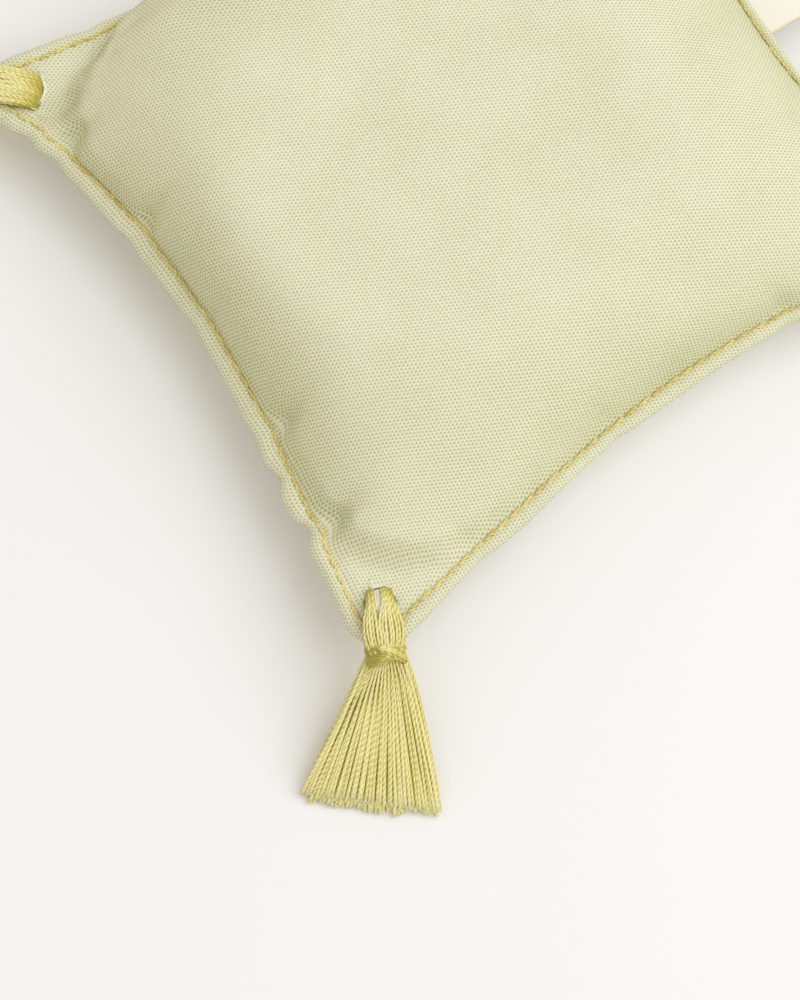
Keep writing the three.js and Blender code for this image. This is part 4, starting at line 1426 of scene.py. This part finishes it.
    def lip(self, fray, sizes, rng):
        """The pale cut edge at the inner side of the hole, and fibres that lie out from it on the cloth."""
        radius = sizes.hole_radius * self.opening / MM
        for way in (1, -1):
            for lane in range(LIP_RINGS):
                angle = np.linspace(-1.25, 1.25, 15)
                ring = radius + 0.08 + 0.12 * lane + 0.06 * rng.standard_normal(len(angle))
                height = 1.00 + 0.12 * (1 - abs(lane - 1)) + 0.14 * np.cos(angle)
                height = height + 0.04 * rng.standard_normal(len(angle))
                path = self.point(-np.cos(angle) * ring * MM, np.sin(angle) * ring * MM, way * height * MM)
                fray.add(path, UP, 0.10 * MM, FIBRE_PITCH)
            for _ in range(LIP_FIBRES):
                angle = rng.uniform(-1.1, 1.1)
                away = np.array([-math.cos(angle), math.sin(angle)])
                foot = away * (radius + 0.1)
                tip = away * (radius + rng.uniform(0.5, 1.3)) + rng.normal(0.0, 0.5, 2)
                tip = tip + away * max(0.0, radius + 0.6 - tip @ away)
                middle = (foot + tip) / 2 + rng.normal(0.0, 0.2, 2)
                middle = middle + away * max(0.0, radius + 0.3 - middle @ away)
                flat = np.array([foot, middle, tip])
                height = np.array([1.0, rng.uniform(1.5, 1.8), 1.25])
                path = smooth_path(self.point(flat[:, 0] * MM, flat[:, 1] * MM, way * height * MM), 6)
                fray.add(path, self.across + 0.2 * UP, rng.uniform(0.06, 0.09) * MM, FIBRE_PITCH)

    def loose_fibres(self, sizes, rng):
        """Fibres of the cut edge that fill the gap between the loop's two bundles."""
        strands = Strands(4)
        radius = sizes.hole_radius * self.opening / MM
        for way in (1, -1):
            for _ in range(round(TONGUE_FIBRES * self.parted)):
                gap = self.shift - 0.23 * self.parted + rng.uniform(-0.34, 0.34)
                reach = np.array([0.36 - radius, -1.5, 0.0, 1.4, rng.uniform(2.0, 3.0)])
                height = np.array([0.95, 1.7, 2.45, 2.65, 2.5]) + rng.normal(0.0, 0.07)
                sway = gap + np.array([0.0, 0.0, 0.05, 0.12, 0.2]) * rng.normal(0.0, 1.0)
                path = smooth_path(self.point(reach * MM, sway * MM, way * height * MM), 10)
                strands.add(path, self.across, rng.uniform(0.07, 0.11) * MM, FIBRE_PITCH)
        return strands


class SACHET_OT_stage(bpy.types.Operator):
    """Set the pale floor, the soft light and the camera"""

    bl_idname = "sachet.stage"
    bl_label = "Make stage"

    def execute(self, context):
        colours = colours_of(context)
        floor = added(bpy.ops.mesh.primitive_plane_add, size=FLOOR_SIZE, location=FLOOR_PLACE)
        floor.name = "floor"
        floor.data.materials.append(plain("Floor", colours.floor, 0.6))
        self.lamp()
        self.sky()
        self.camera()
        context.scene.view_settings.view_transform = "Standard"
        return {"FINISHED"}

    def lamp(self):
        lamp = added(bpy.ops.object.light_add, type="AREA", location=LAMP_PLACE)
        lamp.name = "Key"
        lamp.data.size = LAMP_SIZE
        lamp.data.energy = LAMP_POWER
        lamp.data.color = LAMP_COLOUR
        lamp.rotation_euler = Vector(LAMP_PLACE).to_track_quat("Z", "Y").to_euler()

    def sky(self):
        world = bpy.data.worlds.new("Sky")
        bpy.context.scene.world = world
        world.use_nodes = True
        backdrop = world.node_tree.nodes["Background"]
        backdrop.inputs["Color"].default_value = SKY_COLOUR
        backdrop.inputs["Strength"].default_value = SKY_STRENGTH

    def camera(self):
        """The camera over the middle of the seam plane, moved sideways and up in its own picture."""
        level = math.cos(CAMERA_ELEVATION)
        x = math.sin(CAMERA_AZIMUTH) * level
        y = -math.cos(CAMERA_AZIMUTH) * level
        back = Vector((x, y, math.sin(CAMERA_ELEVATION)))
        right = Vector((math.cos(CAMERA_AZIMUTH), math.sin(CAMERA_AZIMUTH), 0.0))
        up = back.cross(right)
        camera = added(bpy.ops.object.camera_add)
        camera.data.lens = CAMERA_LENS
        camera.data.sensor_width = CAMERA_SENSOR
        seam = Vector((0.0, 0.0, hole_of("front_left")[2]))
        place = seam + back * CAMERA_BACK + right * CAMERA_RIGHT + up * CAMERA_UP
        camera.matrix_world = Matrix.Translation(place) @ Matrix((right, up, back)).transposed().to_4x4()
        bpy.context.scene.camera = camera


class SACHET_PT_panel(bpy.types.Panel):
    """Sizes, colours and steps of the sachet"""

    bl_idname = "SACHET_PT_panel"
    bl_label = "Lavender sachet"
    bl_space_type = "VIEW_3D"
    bl_region_type = "UI"
    bl_category = "Sachet"

    def draw(self, context):
        for group in (sizes_of(context), colours_of(context)):
            column = self.layout.column()
            for key in group.__annotations__:
                column.prop(group, key)
        for step in STEPS:
            self.layout.operator(step.bl_idname)


STEPS = (
    SACHET_OT_cover,
    SACHET_OT_stitching,
    SACHET_OT_filling,
    SACHET_OT_label,
    SACHET_OT_tassels,
    SACHET_OT_stage,
)
CLASSES = (SachetSizes, SachetColours, *STEPS, SACHET_PT_panel)


def register():
    for item in CLASSES:
        bpy.utils.register_class(item)
    bpy.types.Scene.sachet_sizes = bpy.props.PointerProperty(type=SachetSizes)
    bpy.types.Scene.sachet_colours = bpy.props.PointerProperty(type=SachetColours)


def unregister():
    del bpy.types.Scene.sachet_colours
    del bpy.types.Scene.sachet_sizes
    for item in reversed(CLASSES):
        bpy.utils.unregister_class(item)


def main():
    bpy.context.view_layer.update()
    register()
    bpy.ops.sachet.cover()
    bpy.ops.sachet.stitching()
    bpy.ops.sachet.filling()
    bpy.ops.sachet.label()
    bpy.ops.sachet.tassels()
    bpy.ops.sachet.stage()


if __name__ == "__main__":
    main()
